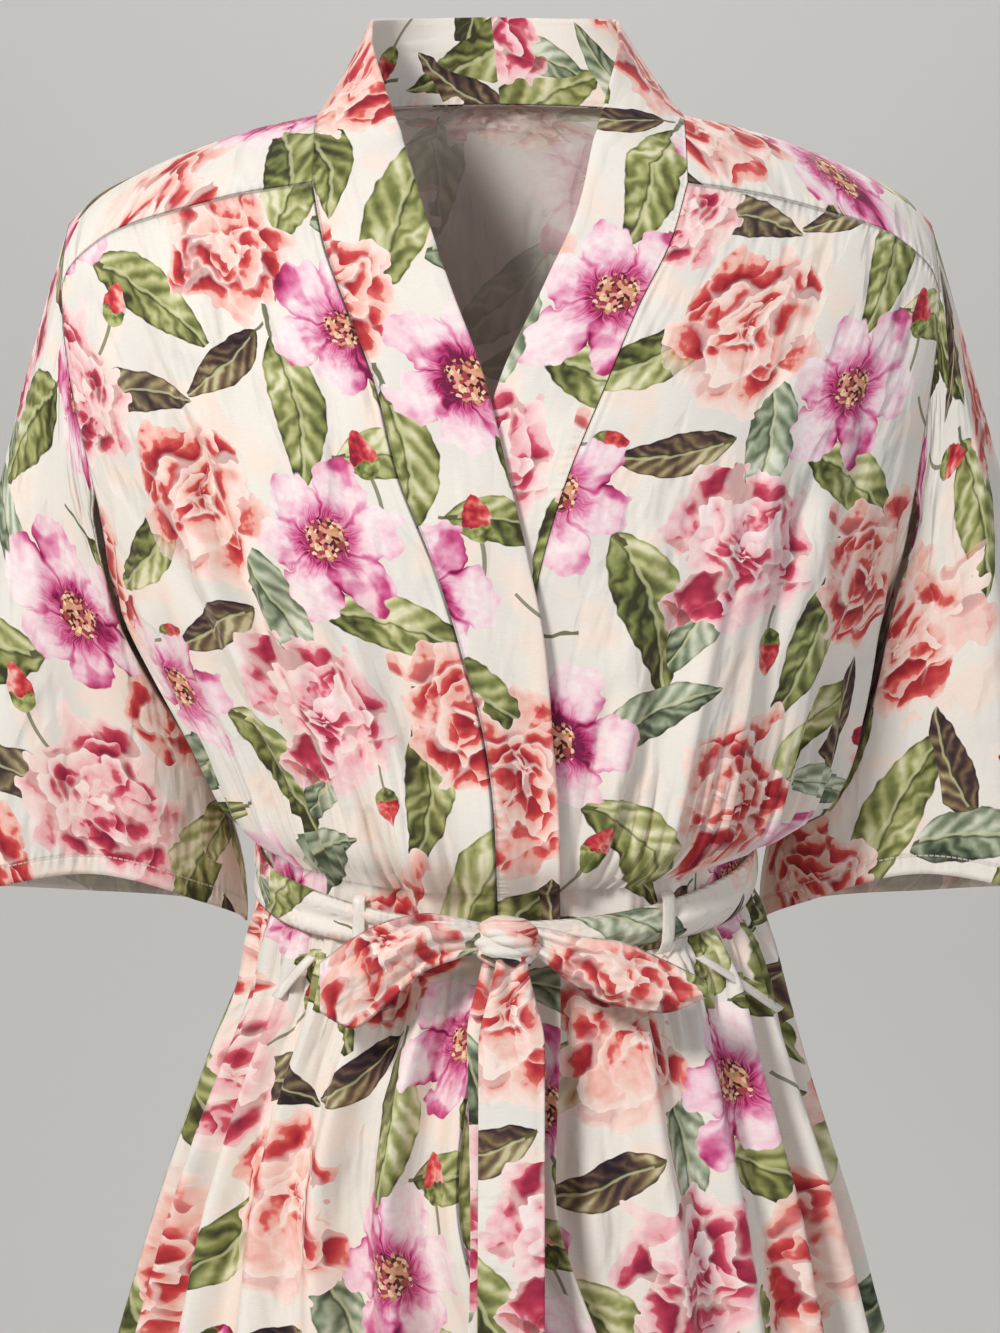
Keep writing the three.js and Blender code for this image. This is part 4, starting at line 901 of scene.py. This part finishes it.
def make_flower_print():
    """The whole print on its ivory ground, over the cloth map in metres."""
    nearest_bloom, nearest_leaf = make_nearest_bloom(), make_nearest_leaf()
    takes = {"Cloth place": ("vector", None), "Fade": ("value", 0.0)}
    group, s, given, out = new_group("flower print", takes, {"Colour": "colour", "Dye": "value"})
    place = s.vector("SCALE", given["Cloth place"], scale=1000.0 / PRINT_SCALE)
    half = (0.5, 0.5, 0.5)
    washes = {
        "broad": s.vector("SUBTRACT", s.noise(place, 0.036, 1.0)["Color"], half),
        "fine": s.vector("SUBTRACT", s.noise(place, 0.12, 1.0)["Color"], half),
        "wash": s.noise(s.vector("ADD", place, (70, 30, 0)), 0.034, 2.0)["Fac"],
        "grain": s.noise(place, 0.24, 1.0)["Fac"],
    }

    def lay_out(nearest, motifs):
        found = dict.fromkeys(NEAREST)
        for motif in motifs:
            found = s.use(nearest, place=place, measure=found["Measure"], motif_place=found["Motif place"],
                          motif_tint=found["Motif tint"], **motif)
        return found

    def lay_out_blooms(kind):
        return lay_out(nearest_bloom, [{"centre": (across, -down, 0), "tint": tint}
                                       for across, down, kind_here, tint in BLOOMS if kind_here == kind])

    def lay_out_long(rows):
        motifs = []
        for across, down, turn, half_length, half_width, tint in rows:
            cosine, sine = math.cos(math.radians(turn)), math.sin(math.radians(turn))
            motifs.append({"centre": (across, -down, 0), "tint": tint,
                           "along": (cosine / half_length, -sine / half_length, 0),
                           "across": (sine / half_width, cosine / half_width, 0)})
        return lay_out(nearest_leaf, motifs)

    ground = s.noise(place, 0.012, 1.0)["Fac"]
    colour = s.mix(s.steps(ground, 0.35, 0.6), IVORY_COOL, IVORY)
    colour = s.mix(s.steps(washes["wash"], 0.5, 0.68, 0.0, 0.8), colour, IVORY_WARM)
    dyed = 0.0
    layers = [
        (make_leaf(), lay_out_long(LEAVES), 1.0),
        (make_bud(), lay_out_long([(x, y, turn, size, size, tint) for x, y, turn, size, tint in BUDS]), 1.0),
        (make_ruffled_bloom(), lay_out_blooms("ruffled"), 1 / RUFFLED_SIZE),
        (make_open_bloom(), lay_out_blooms("open"), 1 / OPEN_SIZE),
    ]
    for motif, found, scale in layers:
        here = found["Motif place"] if scale == 1.0 else s.vector("SCALE", found["Motif place"], scale=scale)
        drawn = s.use(motif, place=here, tint=found["Motif tint"], **washes)
        colour = s.mix(drawn["Mask"], colour, drawn["Colour"])
        dyed = s.math("MAXIMUM", dyed, drawn["Mask"])
    s.put(out["Colour"], s.mix(given["Fade"], colour, IVORY_COOL))
    s.put(out["Dye"], dyed)
    return group


def make_jersey_knit():
    """Fine ribs and loops of jersey with uneven yarn, as a height and as a faint heather."""
    group, s, given, out = new_group("jersey knit", {"Cloth place": ("vector", None)},
                                     {"Height": "value", "Heather": "value"})
    place = s.vector("SCALE", given["Cloth place"], scale=1000.0)
    x, y = s.split(place)
    wales = s.math("SINE", s.math("MULTIPLY", x, 2 * math.pi / 0.85))
    courses = s.math("SINE", s.math("MULTIPLY_ADD", y, 2 * math.pi / 0.62, s.math("MULTIPLY", wales, 0.9)))
    yarn = s.noise(s.vector("MULTIPLY", place, (0.16, 1.5, 1)), 1.0, 2.0, 0.6)["Fac"]
    height = s.math("ADD", s.math("MULTIPLY", wales, 0.3), s.math("MULTIPLY", courses, 0.2))
    s.put(out["Height"], s.math("ADD", height, s.math("MULTIPLY", yarn, 1.2)))
    s.put(out["Heather"], s.steps(yarn, 0.3, 0.7, -1.0, 1.0))
    return group


def make_soft_crumple():
    """Small soft creases that the mesh is too coarse for, as a height in millimetres."""
    takes = {"Cloth place": ("vector", None), "Along": ("value", 0.35)}
    group, s, given, out = new_group("soft crumple", takes, {"Height": "value"})
    place = s.vector("SCALE", given["Cloth place"], scale=1000.0)
    long = s.vector("MULTIPLY", place, s.join(1.0, given["Along"], 1.0))
    soft = s.noise(long, 0.05, 2.0, 0.5)["Fac"]
    ridge = s.math("ABSOLUTE", s.math("SUBTRACT", soft, 0.5))
    s.put(out["Height"], s.math("MULTIPLY_ADD", soft, 4.6, s.math("MULTIPLY", ridge, -4.0)))
    return group


def make_sewn_edges():
    """What sewing does near an edge: a groove at the seam, and a stitched and puckered hem, with painted shade
    darkening the seam's groove and the hem's stitched dip.
    """
    group, s, given, out = new_group("sewn edges", {
        "Cloth place": ("vector", None), "Edges": ("vector", None), "Hem stitch": ("value", 10.0),
        "Along y": ("value", 0.0)}, {"Height": "value", "Thread": "value", "Shade": "value"})
    x, y = s.split(s.vector("SCALE", given["Cloth place"], scale=1000.0))
    along = s.blend(given["Along y"], x, y)
    seam, hem = s.split(s.vector("SCALE", given["Edges"], scale=1000.0))
    groove = s.steps(seam, 1.6, 0.0)
    stitch_line = s.math("ABSOLUTE", s.math("SUBTRACT", hem, given["Hem stitch"]))
    gap = s.math("ABSOLUTE", s.math("SUBTRACT", s.math("FRACT", s.math("DIVIDE", along, 2.9)), 0.5))
    thread = s.math("MULTIPLY", s.steps(stitch_line, 0.55, 0.3), s.steps(gap, 0.42, 0.36))
    dip = s.steps(stitch_line, 1.9, 0.0)
    nearest = s.math("MINIMUM", stitch_line, seam)
    ripple_place = s.join(s.math("MULTIPLY", along, 0.28), s.math("MULTIPLY", nearest, 0.05))
    ripple = s.noise(ripple_place, 1.0, 0.0)["Fac"]
    pucker = s.math("MULTIPLY", s.math("SUBTRACT", ripple, 0.5), s.steps(nearest, 10.0, 0.0, 0.0, 2.2))
    height = s.math("SUBTRACT", pucker, s.math("MULTIPLY_ADD", dip, 0.5, groove))
    s.put(out["Height"], s.math("ADD", height, s.math("MULTIPLY", thread, 0.35)))
    s.put(out["Thread"], thread)
    # Painted shade: the colour is darkened along the seam's groove and the hem's stitched dip, where shade
    # falls.
    seam_shade = s.math("MULTIPLY", s.steps(seam, 1.0, 0.1), 0.17)
    s.put(out["Shade"], s.math("MAXIMUM", seam_shade, s.math("MULTIPLY", dip, 0.12)))
    return group


def read_map(s, name):
    node = s.node("ShaderNodeUVMap", uv_map=name)
    return node.outputs[0]


def new_material(name):
    material = bpy.data.materials.new(name)
    material.use_nodes = True
    s = Sketch(material.node_tree)
    shader = next(node for node in material.node_tree.nodes if node.type == "BSDF_PRINCIPLED")
    return material, s, shader.inputs


def bounce_plain(material, s, colour):
    """Light that bounces between folds meets one plain colour, which is much faster than the whole print."""
    nodes = material.node_tree.nodes
    printed = next(node for node in nodes if node.type == "BSDF_PRINCIPLED")
    output = next(node for node in nodes if node.type == "OUTPUT_MATERIAL")
    plain = s.node("ShaderNodeBsdfDiffuse")
    plain.inputs["Color"].default_value = colour
    chosen = s.node("ShaderNodeMixShader")
    s.put(chosen.inputs[0], s.node("ShaderNodeLightPath").outputs["Is Camera Ray"])
    s.put(chosen.inputs[1], plain.outputs[0])
    s.put(chosen.inputs[2], printed.outputs[0])
    s.put(output.inputs["Surface"], chosen.outputs[0])


def make_printed_cloth(name, groups, fade=0.0, hem=10.0, along_y=0.0, crumple=0.35, crumple_size=1.0):
    """Printed jersey with its knit, crumple and sewing."""
    material, s, sockets = new_material(name)
    place, edges = read_map(s, "Cloth"), read_map(s, "Edges")
    printed = s.use(groups["print"], cloth_place=place, fade=fade)
    knit = s.use(groups["knit"], cloth_place=place)
    sewn = s.use(groups["sewn"], cloth_place=place, edges=edges, hem_stitch=hem, along_y=along_y)
    soft = s.use(groups["crumple"], cloth_place=place, along=crumple)
    # Painted shade from the seams' grooves and the hem's stitched dip darkens the print here, and the yarn's
    # heather varies it.
    shade = s.math("SUBTRACT", 1.0, sewn["Shade"])
    shade = s.math("ADD", shade, s.math("MULTIPLY", knit["Heather"], 0.018))
    colour = s.mix(1.0, printed["Colour"], s.join(shade, shade, shade), "MULTIPLY")
    colour = s.mix(s.math("MULTIPLY", sewn["Thread"], 0.55), colour, dye(238, 232, 222))
    s.put(sockets["Base Color"], colour)
    s.put(sockets["Roughness"], s.math("MULTIPLY_ADD", printed["Dye"], -0.05, 0.86))
    sockets["Sheen Weight"].default_value = 0.22
    sockets["Sheen Roughness"].default_value = 0.45
    sockets["Sheen Tint"].default_value = dye(255, 246, 236)
    sockets["Specular IOR Level"].default_value = 0.22
    folds = s.node("ShaderNodeBump")
    folds.inputs["Strength"].default_value = 0.75
    folds.inputs["Distance"].default_value = MM
    crumpled = s.math("MULTIPLY", soft["Height"], crumple_size)
    s.put(folds.inputs["Height"], s.math("ADD", crumpled, sewn["Height"]))
    fine = s.node("ShaderNodeBump")
    fine.inputs["Strength"].default_value = 0.28
    fine.inputs["Distance"].default_value = 0.12 * MM
    s.put(fine.inputs["Height"], knit["Height"])
    s.put(fine.inputs["Normal"], folds.outputs[0])
    s.put(sockets["Normal"], fine.outputs[0])
    bounce_plain(material, s, dye(218, 196, 184))
    return material


def make_white_tape():
    """Narrow white tape with a slight satin gleam and a fine lengthwise rib."""
    material, s, sockets = new_material("white tape")
    place = read_map(s, "Cloth")
    x, y = s.split(s.vector("SCALE", place, scale=1000.0))
    rib = s.math("SINE", s.math("MULTIPLY", x, 2 * math.pi / 0.8))
    wear = s.noise(s.join(x, s.math("MULTIPLY", y, 0.3), 0.0), 0.35, 2.0)["Fac"]
    s.put(sockets["Base Color"], s.mix(s.steps(wear, 0.35, 0.7), dye(232, 227, 216), dye(243, 240, 232)))
    s.put(sockets["Roughness"], s.math("MULTIPLY_ADD", wear, 0.25, 0.36))
    sockets["Sheen Weight"].default_value = 0.15
    bump = s.node("ShaderNodeBump")
    bump.inputs["Strength"].default_value = 0.5
    bump.inputs["Distance"].default_value = 0.3 * MM
    s.put(bump.inputs["Height"], s.math("MULTIPLY_ADD", rib, 0.3, wear))
    s.put(sockets["Normal"], bump.outputs[0])
    return material


print_groups = {"print": make_flower_print(), "knit": make_jersey_knit(), "crumple": make_soft_crumple(),
                "sewn": make_sewn_edges()}
SKIRT_HEM, CUFF_HEM = 16.0, 10.0
NO_HEM = -20.0
JERSEY = make_printed_cloth("printed jersey", print_groups, hem=SKIRT_HEM)
JERSEY_CUFF = make_printed_cloth("printed jersey, sleeves", print_groups, hem=CUFF_HEM)
JERSEY_REVERSE = make_printed_cloth("printed jersey, reverse", print_groups, fade=0.62, hem=CUFF_HEM)
BAND_JERSEY = make_printed_cloth("printed band", print_groups, hem=NO_HEM, along_y=1.0, crumple=0.25,
                                 crumple_size=0.6)
SASH_JERSEY = make_printed_cloth("printed sash", print_groups, hem=NO_HEM, crumple=1.4, crumple_size=0.8)
TAPE = make_white_tape()


# The robe's panels


CLOTH_STEP = 5.0
CLOTH_WALL = 1.1
BAND_HALF_WALL = 1.15
CALM = 8
# How far the print keeps to the panel's own width, and the even width that it otherwise takes
FRONT_PRINT = (0.6, 270)
BACK_PRINT = (0.65, 520)
SLEEVE_PRINT = (0.7, 400)
FINE_COLUMNS = 4


def print_width(total, share, even):
    return share * total + (1 - share) * even


def make_front(name, side, shift):
    columns = FRONT_WAVES * 4 * FINE_COLUMNS
    rows = spread_rows(FRONT_ROWS, "inner", CLOTH_STEP)
    share, row = np.meshgrid(np.linspace(0, 1, columns + 1), rows)
    points = front_point(side, share, row)
    across, down = lengths(points, 1), lengths(points, 0)
    total = across[:, -1:]
    down = down + (-points[:1, :, 2])
    edge = np.minimum(np.minimum(across, total - across), down - down[:1])
    width = print_width(total, *FRONT_PRINT)
    hem = down[-1:] - down
    cloth = cloth_maps(calm(side * across / total * width, CALM), calm(down, CALM), edge, hem, shift)
    piece = add_piece(name, points, cloth, [JERSEY, JERSEY_REVERSE], wall=CLOTH_WALL,
                      flip=side < 0)


def make_back(shift):
    columns = BACK_COLUMNS * FINE_COLUMNS
    yoke = np.linspace(0, YOKE_ROWS, YOKE_ROWS * 7 + 1)[:-1]
    rows = np.concatenate([yoke, YOKE_ROWS + spread_rows(BACK_ROWS, "height", CLOTH_STEP)])
    column, row = np.meshgrid(np.linspace(0, BACK_COLUMNS, columns + 1), rows)
    points = back_point(column, row)
    across, down = lengths(points, 1), lengths(points, 0)
    centre = columns // 2
    neck = NECK_COLUMNS * FINE_COLUMNS // 2
    across = across - across[:, centre:centre + 1]
    ahead = int(np.searchsorted(rows, YOKE_FRONT_ROWS))
    for part, corner in ((slice(0, centre), centre - neck), (slice(centre, None), centre + neck)):
        across[:ahead, part] += across[ahead, corner] - across[:ahead, corner:corner + 1]
    total = across[:, -1:] - across[:, :1]
    seam = np.minimum(across - across[:, :1], across[:, -1:] - across)
    edge = np.minimum(seam, down)
    hem = down[-1:] - down
    keep = np.ones((len(rows) - 1, columns), bool)
    keep[:ahead, centre - neck:centre + neck] = False
    width = print_width(total, *BACK_PRINT)
    level = down - down[len(yoke)] - YOKE_LEVEL
    cloth = cloth_maps(calm(across / total * width, CALM), calm(level, CALM), edge, hem, shift)
    piece = add_piece("back", points, cloth, [JERSEY, JERSEY_REVERSE], wall=CLOTH_WALL,
                      keep=keep, flip=True)


def make_band(name, side, shift):
    """The band is folded double: its cloth runs from the seam to the free fold and back behind itself."""
    neck_rows = np.linspace(0, NECK_ROWS, NECK_ROWS * 8 + 1)[:-1]
    rows = np.concatenate([neck_rows, NECK_ROWS + spread_rows(FRONT_ROWS, "inner", CLOTH_STEP)])
    steps = np.linspace(0, 1, 13)
    share, row = np.meshgrid(steps, rows)
    middle = band_point(side, share, row)
    step_across = np.gradient(middle, axis=1)
    step_down = np.gradient(middle, axis=0)
    normal = np.cross(step_down, step_across) * side
    normal /= np.linalg.norm(normal, axis=-1, keepdims=True)
    thick = BAND_HALF_WALL + 0.25 * np.sin(math.pi * share)[..., None]
    outside, inside = middle + normal * thick, middle - normal * thick
    outward = step_across[:, -1] / np.linalg.norm(step_across[:, -1], axis=-1, keepdims=True)
    fold = np.stack([middle[:, -1] + normal[:, -1] * BAND_HALF_WALL * math.cos(angle)
                     + outward * BAND_HALF_WALL * math.sin(angle)
                     for angle in (math.pi / 4, math.pi / 2, 3 * math.pi / 4)], axis=1)
    points = np.concatenate([outside, fold, inside[:, ::-1]], axis=1)
    across, down = lengths(points, 1), lengths(points, 0)
    edge = np.minimum(across, across[:, -1:] - across)
    down_mean = np.broadcast_to(down[:, :1], down.shape)
    cloth = cloth_maps(side * across, down_mean, edge, down * 0 + 40, shift)
    piece = add_piece(name, points, cloth, [BAND_JERSEY], flip=side > 0)


def make_sleeve(name, shift):
    sleeve = SLEEVES[name]
    columns, count = 150, 84
    share, row = np.meshgrid(np.linspace(0, 1, columns + 1), np.linspace(0, 1, count + 1) ** 0.85)
    points = sleeve_point(sleeve, share, row)
    across, down = lengths(points, 1), lengths(points, 0)
    total = across[:, -1:]
    middle = np.take(across, [columns // 2], axis=1)
    hem = down[-1:] - down
    edge = np.minimum(down, np.minimum(across, total - across) + 3)
    width = print_width(total, *SLEEVE_PRINT)
    cloth = cloth_maps((across - middle) / total * width, down - points[:1, :, 2] * 0.5, edge, hem, shift)
    piece = add_piece(name, points, cloth, [JERSEY_CUFF, JERSEY_REVERSE], wall=CLOTH_WALL,
                      closed=True, flip=sleeve["side"] < 0)


make_front("front_wearer_right", -1, (0.31, 0.02))
make_front("front_wearer_left", 1, (0.11, -0.07))
make_back((0.05, 0.12))
make_band("band_wearer_right", -1, (0.02, 0.21))
make_band("band_wearer_left", 1, (0.17, 0.05))
make_sleeve("sleeve_viewer_left", (0.22, 0.16))
make_sleeve("sleeve_viewer_right", (0.07, 0.27))


# The sash

SASH_OUT = 6.2
SASH_END_X = 3
KNOT = {"x": 4, "y": -117.8, "z": -450}
WAIST_WALL, KNOT_WALL, LOOP_WALL, TAIL_WALL = 1.6, 1.4, 1.4, 1.5
LOOP_LEFT = columns_of("along x top bottom", [
    (0, -6, -441, -455), (1, -11.5, -440, -455), (2, -37, -435, -463), (3, -56, -438, -479),
    (4, -74, -447, -492), (5, -90, -459, -484),
])
LOOP_RIGHT = columns_of("along x top bottom", [
    (0, 14, -445, -456), (1, 19.5, -443, -458), (2, 42, -447, -474), (3, 60, -449, -481),
    (4, 82, -458, -484), (5, 104, -469, -476),
])
TAILS = {
    "sash_tail_front": {"top": -456, "bottom": -778, "x0": 6, "x1": 4, "half": 16.5,
                        "root": -127, "out": 11},
    "sash_tail_behind": {"top": -456, "bottom": -742, "x0": 0, "x1": -4, "half": 14,
                         "root": -115, "out": 5.5},
}


def waist_point(share, rise, out):
    start = float(np.abs(turn_at(np.array(float(SASH_END_X)), float(WAIST))))
    turns = lerp(start, 4 - start, share)
    front_turn = np.where(turns > 3, 4 - turns, -turns)
    front = body_point("front", np.clip(front_turn, -1, 1), np.full_like(turns, WAIST), out)
    back = body_point("back", np.clip(turns - 2, -1, 1), np.full_like(turns, WAIST), out)
    point = np.where(((turns > 1) & (turns <= 3))[..., None], back, front)
    point[..., 2] += rise
    return point


def make_waist_sash():
    """The sash round the waist, drawn in to a creased strand as it nears the knot."""
    share, row = np.meshgrid(np.linspace(0, 1, 421), np.linspace(0, 1, 21))
    frontness = smooth((np.abs(share - 0.5) - 0.25) / 0.25)
    half = lerp(SASH_HALF_SIDE, SASH_HALF_FRONT, frontness)
    pleats = np.sin(row * math.pi * (2.5 + 2 * wander(share * 5, row, 5)) + 4 * share)
    out = SASH_OUT + (0.6 + 1.4 * frontness) * pleats + 1.2 * wander(share * 40, row * 2, 8)
    curl = 1.6 * np.cos(np.abs(row * 2 - 1) ** 3 * math.pi / 2)
    rise = half * (1 - 2 * row) + 0.8 * wander(share * 24, row * 0.4, 9)
    points = waist_point(share, rise, out + curl - 1.2)
    across, down = lengths(points, 1), lengths(points, 0)
    cloth = cloth_maps(across, down * 1.4, np.minimum(down, down[-1:] - down), down * 0 + 40, (0.05, 0.03))
    piece = add_piece("sash_waist", points, cloth, [SASH_JERSEY], wall=WAIST_WALL)


def make_bow_loop(name, table, shift, seed, fold_line):
    """A bow loop: out along the front, round its end and back behind, with creases from the knot."""
    columns = 132
    column, row = np.meshgrid(np.linspace(-1, 1, columns + 1), np.linspace(0, 1, 29))
    outward = 1 - np.abs(column)
    along = 0.6 + np.sin(np.clip(outward, 0, 1) * math.pi / 2) * 4.4
    swell = 5.2 * np.sqrt(np.maximum(1 - outward ** 6, 0)) * lerp(0.35, 1, smooth(outward * 3))
    puff = np.sin(math.pi * row) ** 0.7
    creases = 2.4 * np.sin(row * math.pi * 3.4 + seed) + 1.3 * np.sin(row * math.pi * 6.5 + seed * 2)
    creases = creases * (1 - outward) ** 0.9
    upper = lerp(*fold_line, outward)
    along_fold = np.sin(math.pi * np.clip(outward, 0.02, 1)) ** 0.5
    creases = creases - 2.6 * smooth((upper - row) / 0.07) * along_fold
    soft = wander(along * 1.3, row * 4, seed)
    y = lerp(-118, -129, smooth(outward * 2.5)) + np.where(column < 0, -1, 1) * swell * (0.45 + 0.55 * puff)
    y = y + (creases + soft) * np.where(column < 0, -1, 0.6) * smooth(np.abs(column) * 6)
    z = lerp(read(table, "along", along, "top"), read(table, "along", along, "bottom"), row)
    points = np.stack([read(table, "along", along, "x"), y, z], axis=-1)
    across, down = lengths(points, 1), lengths(points, 0)
    cloth = cloth_maps(across, down, np.minimum(down, down[-1:] - down), down * 0 + 40, shift)
    piece = add_piece(name, points, cloth, [SASH_JERSEY], wall=LOOP_WALL,
                      flip=name.endswith("left"))


def make_tail(name, shift, seed):
    tail = TAILS[name]
    share, row = np.meshgrid(np.linspace(-1, 1, 33), np.linspace(0, 1, 101))
    z = lerp(tail["top"], tail["bottom"], row)
    pinch = lerp(0.45, 1, smooth(row * 7))
    sway = 1.6 * wander(row * 5, 0 * row, seed)
    x = lerp(tail["x0"], tail["x1"], row) + tail["half"] * share * pinch + sway
    front = body_at(z, "front") + body_at(z, "fold")
    y = lerp(tail["root"], -(front + tail["out"]), smooth(row * 6))
    y = y + 1.2 * wander(share * 1.5, row * 6, seed) + 2.2 * (1 - smooth(row * 4)) * np.cos(share * 4.5)
    y = y - 1.3 * (1 - share ** 2)
    points = np.stack([x, y, z], axis=-1)
    across, down = lengths(points, 1), lengths(points, 0)
    edge = np.minimum(across, across[:, -1:] - across)
    cloth = cloth_maps(across, down, edge + 2.5, down[-1:] - down + 30, shift)
    piece = add_piece(name, points, cloth, [SASH_JERSEY], wall=TAIL_WALL)


def make_knot():
    """The tie: a band of sash wrapped round, with the twisted folds in it."""
    count, around = 48, 64
    angle, rise = np.meshgrid(np.linspace(0, 2 * math.pi, around + 1), np.linspace(-1, 1, count + 1))
    body = np.sqrt(np.maximum(1 - np.abs(rise) ** 2.6, 0)) ** 0.8
    slant = np.cos(angle) * 1.9 + 0.5 * np.sin(2 * angle)
    turns = 0.17 * np.abs(np.sin(rise * 4.6 + slant + 0.4)) ** 0.6
    wraps = 0.94 + turns + 0.04 * np.sin(rise * 15 - 3 * slant)
    x = KNOT["x"] + 14.5 * body * wraps * np.cos(angle) + 2.5 * rise
    y = KNOT["y"] + 13.8 * body * wraps * np.sin(angle)
    z = KNOT["z"] + 12.5 * rise - 2.5 * np.cos(angle) * body
    points = np.stack([x, y, z], axis=-1)
    across, down = lengths(points, 1), lengths(points, 0)
    cloth = cloth_maps(across, down, down * 0 + 20, down * 0 + 40, (0.1, 0.25))
    piece = add_piece("sash_knot", points, cloth, [SASH_JERSEY], wall=KNOT_WALL,
                      closed=True)


make_waist_sash()
make_bow_loop("bow_loop_viewer_left", LOOP_LEFT, (0.005, -0.05), 3, (0.2, 0.3))
make_bow_loop("bow_loop_viewer_right", LOOP_RIGHT, (0.196, -0.059), 6, (0.5, 0.36))
make_tail("sash_tail_behind", (0.21, 0.2), 14)
make_tail("sash_tail_front", (0.166, -0.184), 12)
make_knot()


# Tape: the two loops that hold the sash, and the edges of the pocket openings

TAPE_WALL = 0.9
STRAP_PATH = columns_of("row height out", [(0, -400, 5.2), (1, -402.5, 8.6), (2, -412, 8.6), (3, -421.5, 8.6),
                                           (4, -429, 5.6)])


def make_belt_loop(name, x, half):
    share, row = np.meshgrid(np.linspace(-1, 1, 7), np.linspace(0, 4, 41))
    height = read(STRAP_PATH, "row", row, "height")
    out = read(STRAP_PATH, "row", row, "out") + 0.5 * (1 - share ** 2)
    here = turn_at(x + half * share + 0.6 * np.sin(row), np.full_like(row, WAIST))
    points = body_point("front", here, np.full_like(row, WAIST), out)
    points[..., 2] = height - body_at(height, "dip") * np.cos(here * math.pi / 2)
    across, down = lengths(points, 1), lengths(points, 0)
    cloth = cloth_maps(across, down, across * 0 + 20, across * 0 + 40)
    piece = add_piece(name, points, cloth, [TAPE], wall=TAPE_WALL)


def make_pocket_edge(name, x0, x1, height0, height1):
    share, row = np.meshgrid(np.linspace(-1, 1, 5), np.linspace(0, 1, 41))
    height = lerp(height0, height1, row)
    out = body_at(height, "fold") + 2.2 + 0.5 * (1 - share ** 2)
    points = body_point("front", turn_at(lerp(x0, x1, row) + 2.2 * share, height), height, out)
    across, down = lengths(points, 1), lengths(points, 0)
    cloth = cloth_maps(across, down, across * 0 + 20, across * 0 + 40)
    piece = add_piece(name, points, cloth, [TAPE], wall=TAPE_WALL)


make_belt_loop("belt_loop_viewer_left", -70, 3)
make_belt_loop("belt_loop_viewer_right", 83, 3)
make_pocket_edge("pocket_edge_viewer_left", -94, -110, -437, -470)
make_pocket_edge("pocket_edge_viewer_right", 100, 140, -437, -486)


# Stage, light and camera

FLOOR_LEVEL = -1.38
FLOOR_NEAR, FLOOR_FAR = -6.0, 3.0
FLOOR_HALF_WIDTH = 7
CURVE_RADIUS = 1.4
CURVE_STEPS = 16
BACKDROP_TOP = 4.5
CAMERA_PLACE = (0, -1.610, -0.310)
CAMERA_LENS = 79.4
ROOM_LIGHT = 0.29


def make_stage():
    """A pale floor that curves up into a pale backdrop."""
    profile = [(FLOOR_NEAR, FLOOR_LEVEL), (FLOOR_FAR, FLOOR_LEVEL)]
    for step in range(1, CURVE_STEPS + 1):
        angle = step / CURVE_STEPS * math.pi / 2
        profile.append((FLOOR_FAR + CURVE_RADIUS * math.sin(angle),
                        FLOOR_LEVEL + CURVE_RADIUS * (1 - math.cos(angle))))
    profile.append((FLOOR_FAR + CURVE_RADIUS, BACKDROP_TOP))
    corners = [(x, y, z) for y, z in profile for x in (-FLOOR_HALF_WIDTH, FLOOR_HALF_WIDTH)]
    faces = [(2 * i, 2 * i + 1, 2 * i + 3, 2 * i + 2) for i in range(len(profile) - 1)]
    mesh = bpy.data.meshes.new("floor")
    mesh.from_pydata(corners, [], faces)
    mesh.polygons.foreach_set("use_smooth", [True] * len(mesh.polygons))
    material, _, sockets = new_material("pale paper")
    sockets["Base Color"].default_value = dye(226, 224, 220)
    sockets["Roughness"].default_value = 0.9
    mesh.materials.append(material)
    floor = bpy.data.objects.new("floor", mesh)
    bpy.context.scene.collection.objects.link(floor)


def add_light(name, place, target, size, power, colour):
    lamp = bpy.data.lights.new(name, "AREA")
    lamp.shape = "RECTANGLE"
    lamp.size, lamp.size_y = size
    lamp.energy = power
    lamp.color = colour
    holder = bpy.data.objects.new(name, lamp)
    holder.location = place
    holder.rotation_euler = (Vector(target) - Vector(place)).to_track_quat("-Z", "Y").to_euler()
    bpy.context.scene.collection.objects.link(holder)


def add_camera():
    view = bpy.data.cameras.new("camera")
    view.sensor_width = 36
    view.lens = CAMERA_LENS
    holder = bpy.data.objects.new("camera", view)
    holder.location = CAMERA_PLACE
    holder.rotation_euler = (math.pi / 2, 0, 0)
    bpy.context.scene.collection.objects.link(holder)
    bpy.context.scene.camera = holder


def set_world():
    world = bpy.data.worlds.new("room")
    world.use_nodes = True
    surround = world.node_tree.nodes["Background"]
    surround.inputs["Color"].default_value = (0.93, 0.95, 1.0, 1)
    surround.inputs["Strength"].default_value = ROOM_LIGHT
    bpy.context.scene.world = world


make_stage()
add_light("key", (-1.35, -1.9, 1.05), (0, 0, -0.4), (0.55, 0.55), 54, (1.0, 0.965, 0.925))
add_light("fill", (1.7, -1.9, 0.3), (0, 0, -0.4), (1.0, 1.2), 9, (0.95, 0.97, 1.0))
add_light("back", (0.8, 1.7, 1.4), (0, 0, -0.4), (1.2, 1.0), 22, (1.0, 0.98, 0.95))
add_light("backdrop", (0, 1.6, 2.4), (0, 4.4, -0.1), (3.5, 0.8), 42, (1.0, 1.0, 1.0))
add_camera()
set_world()
bpy.context.scene.view_settings.view_transform = "Standard"
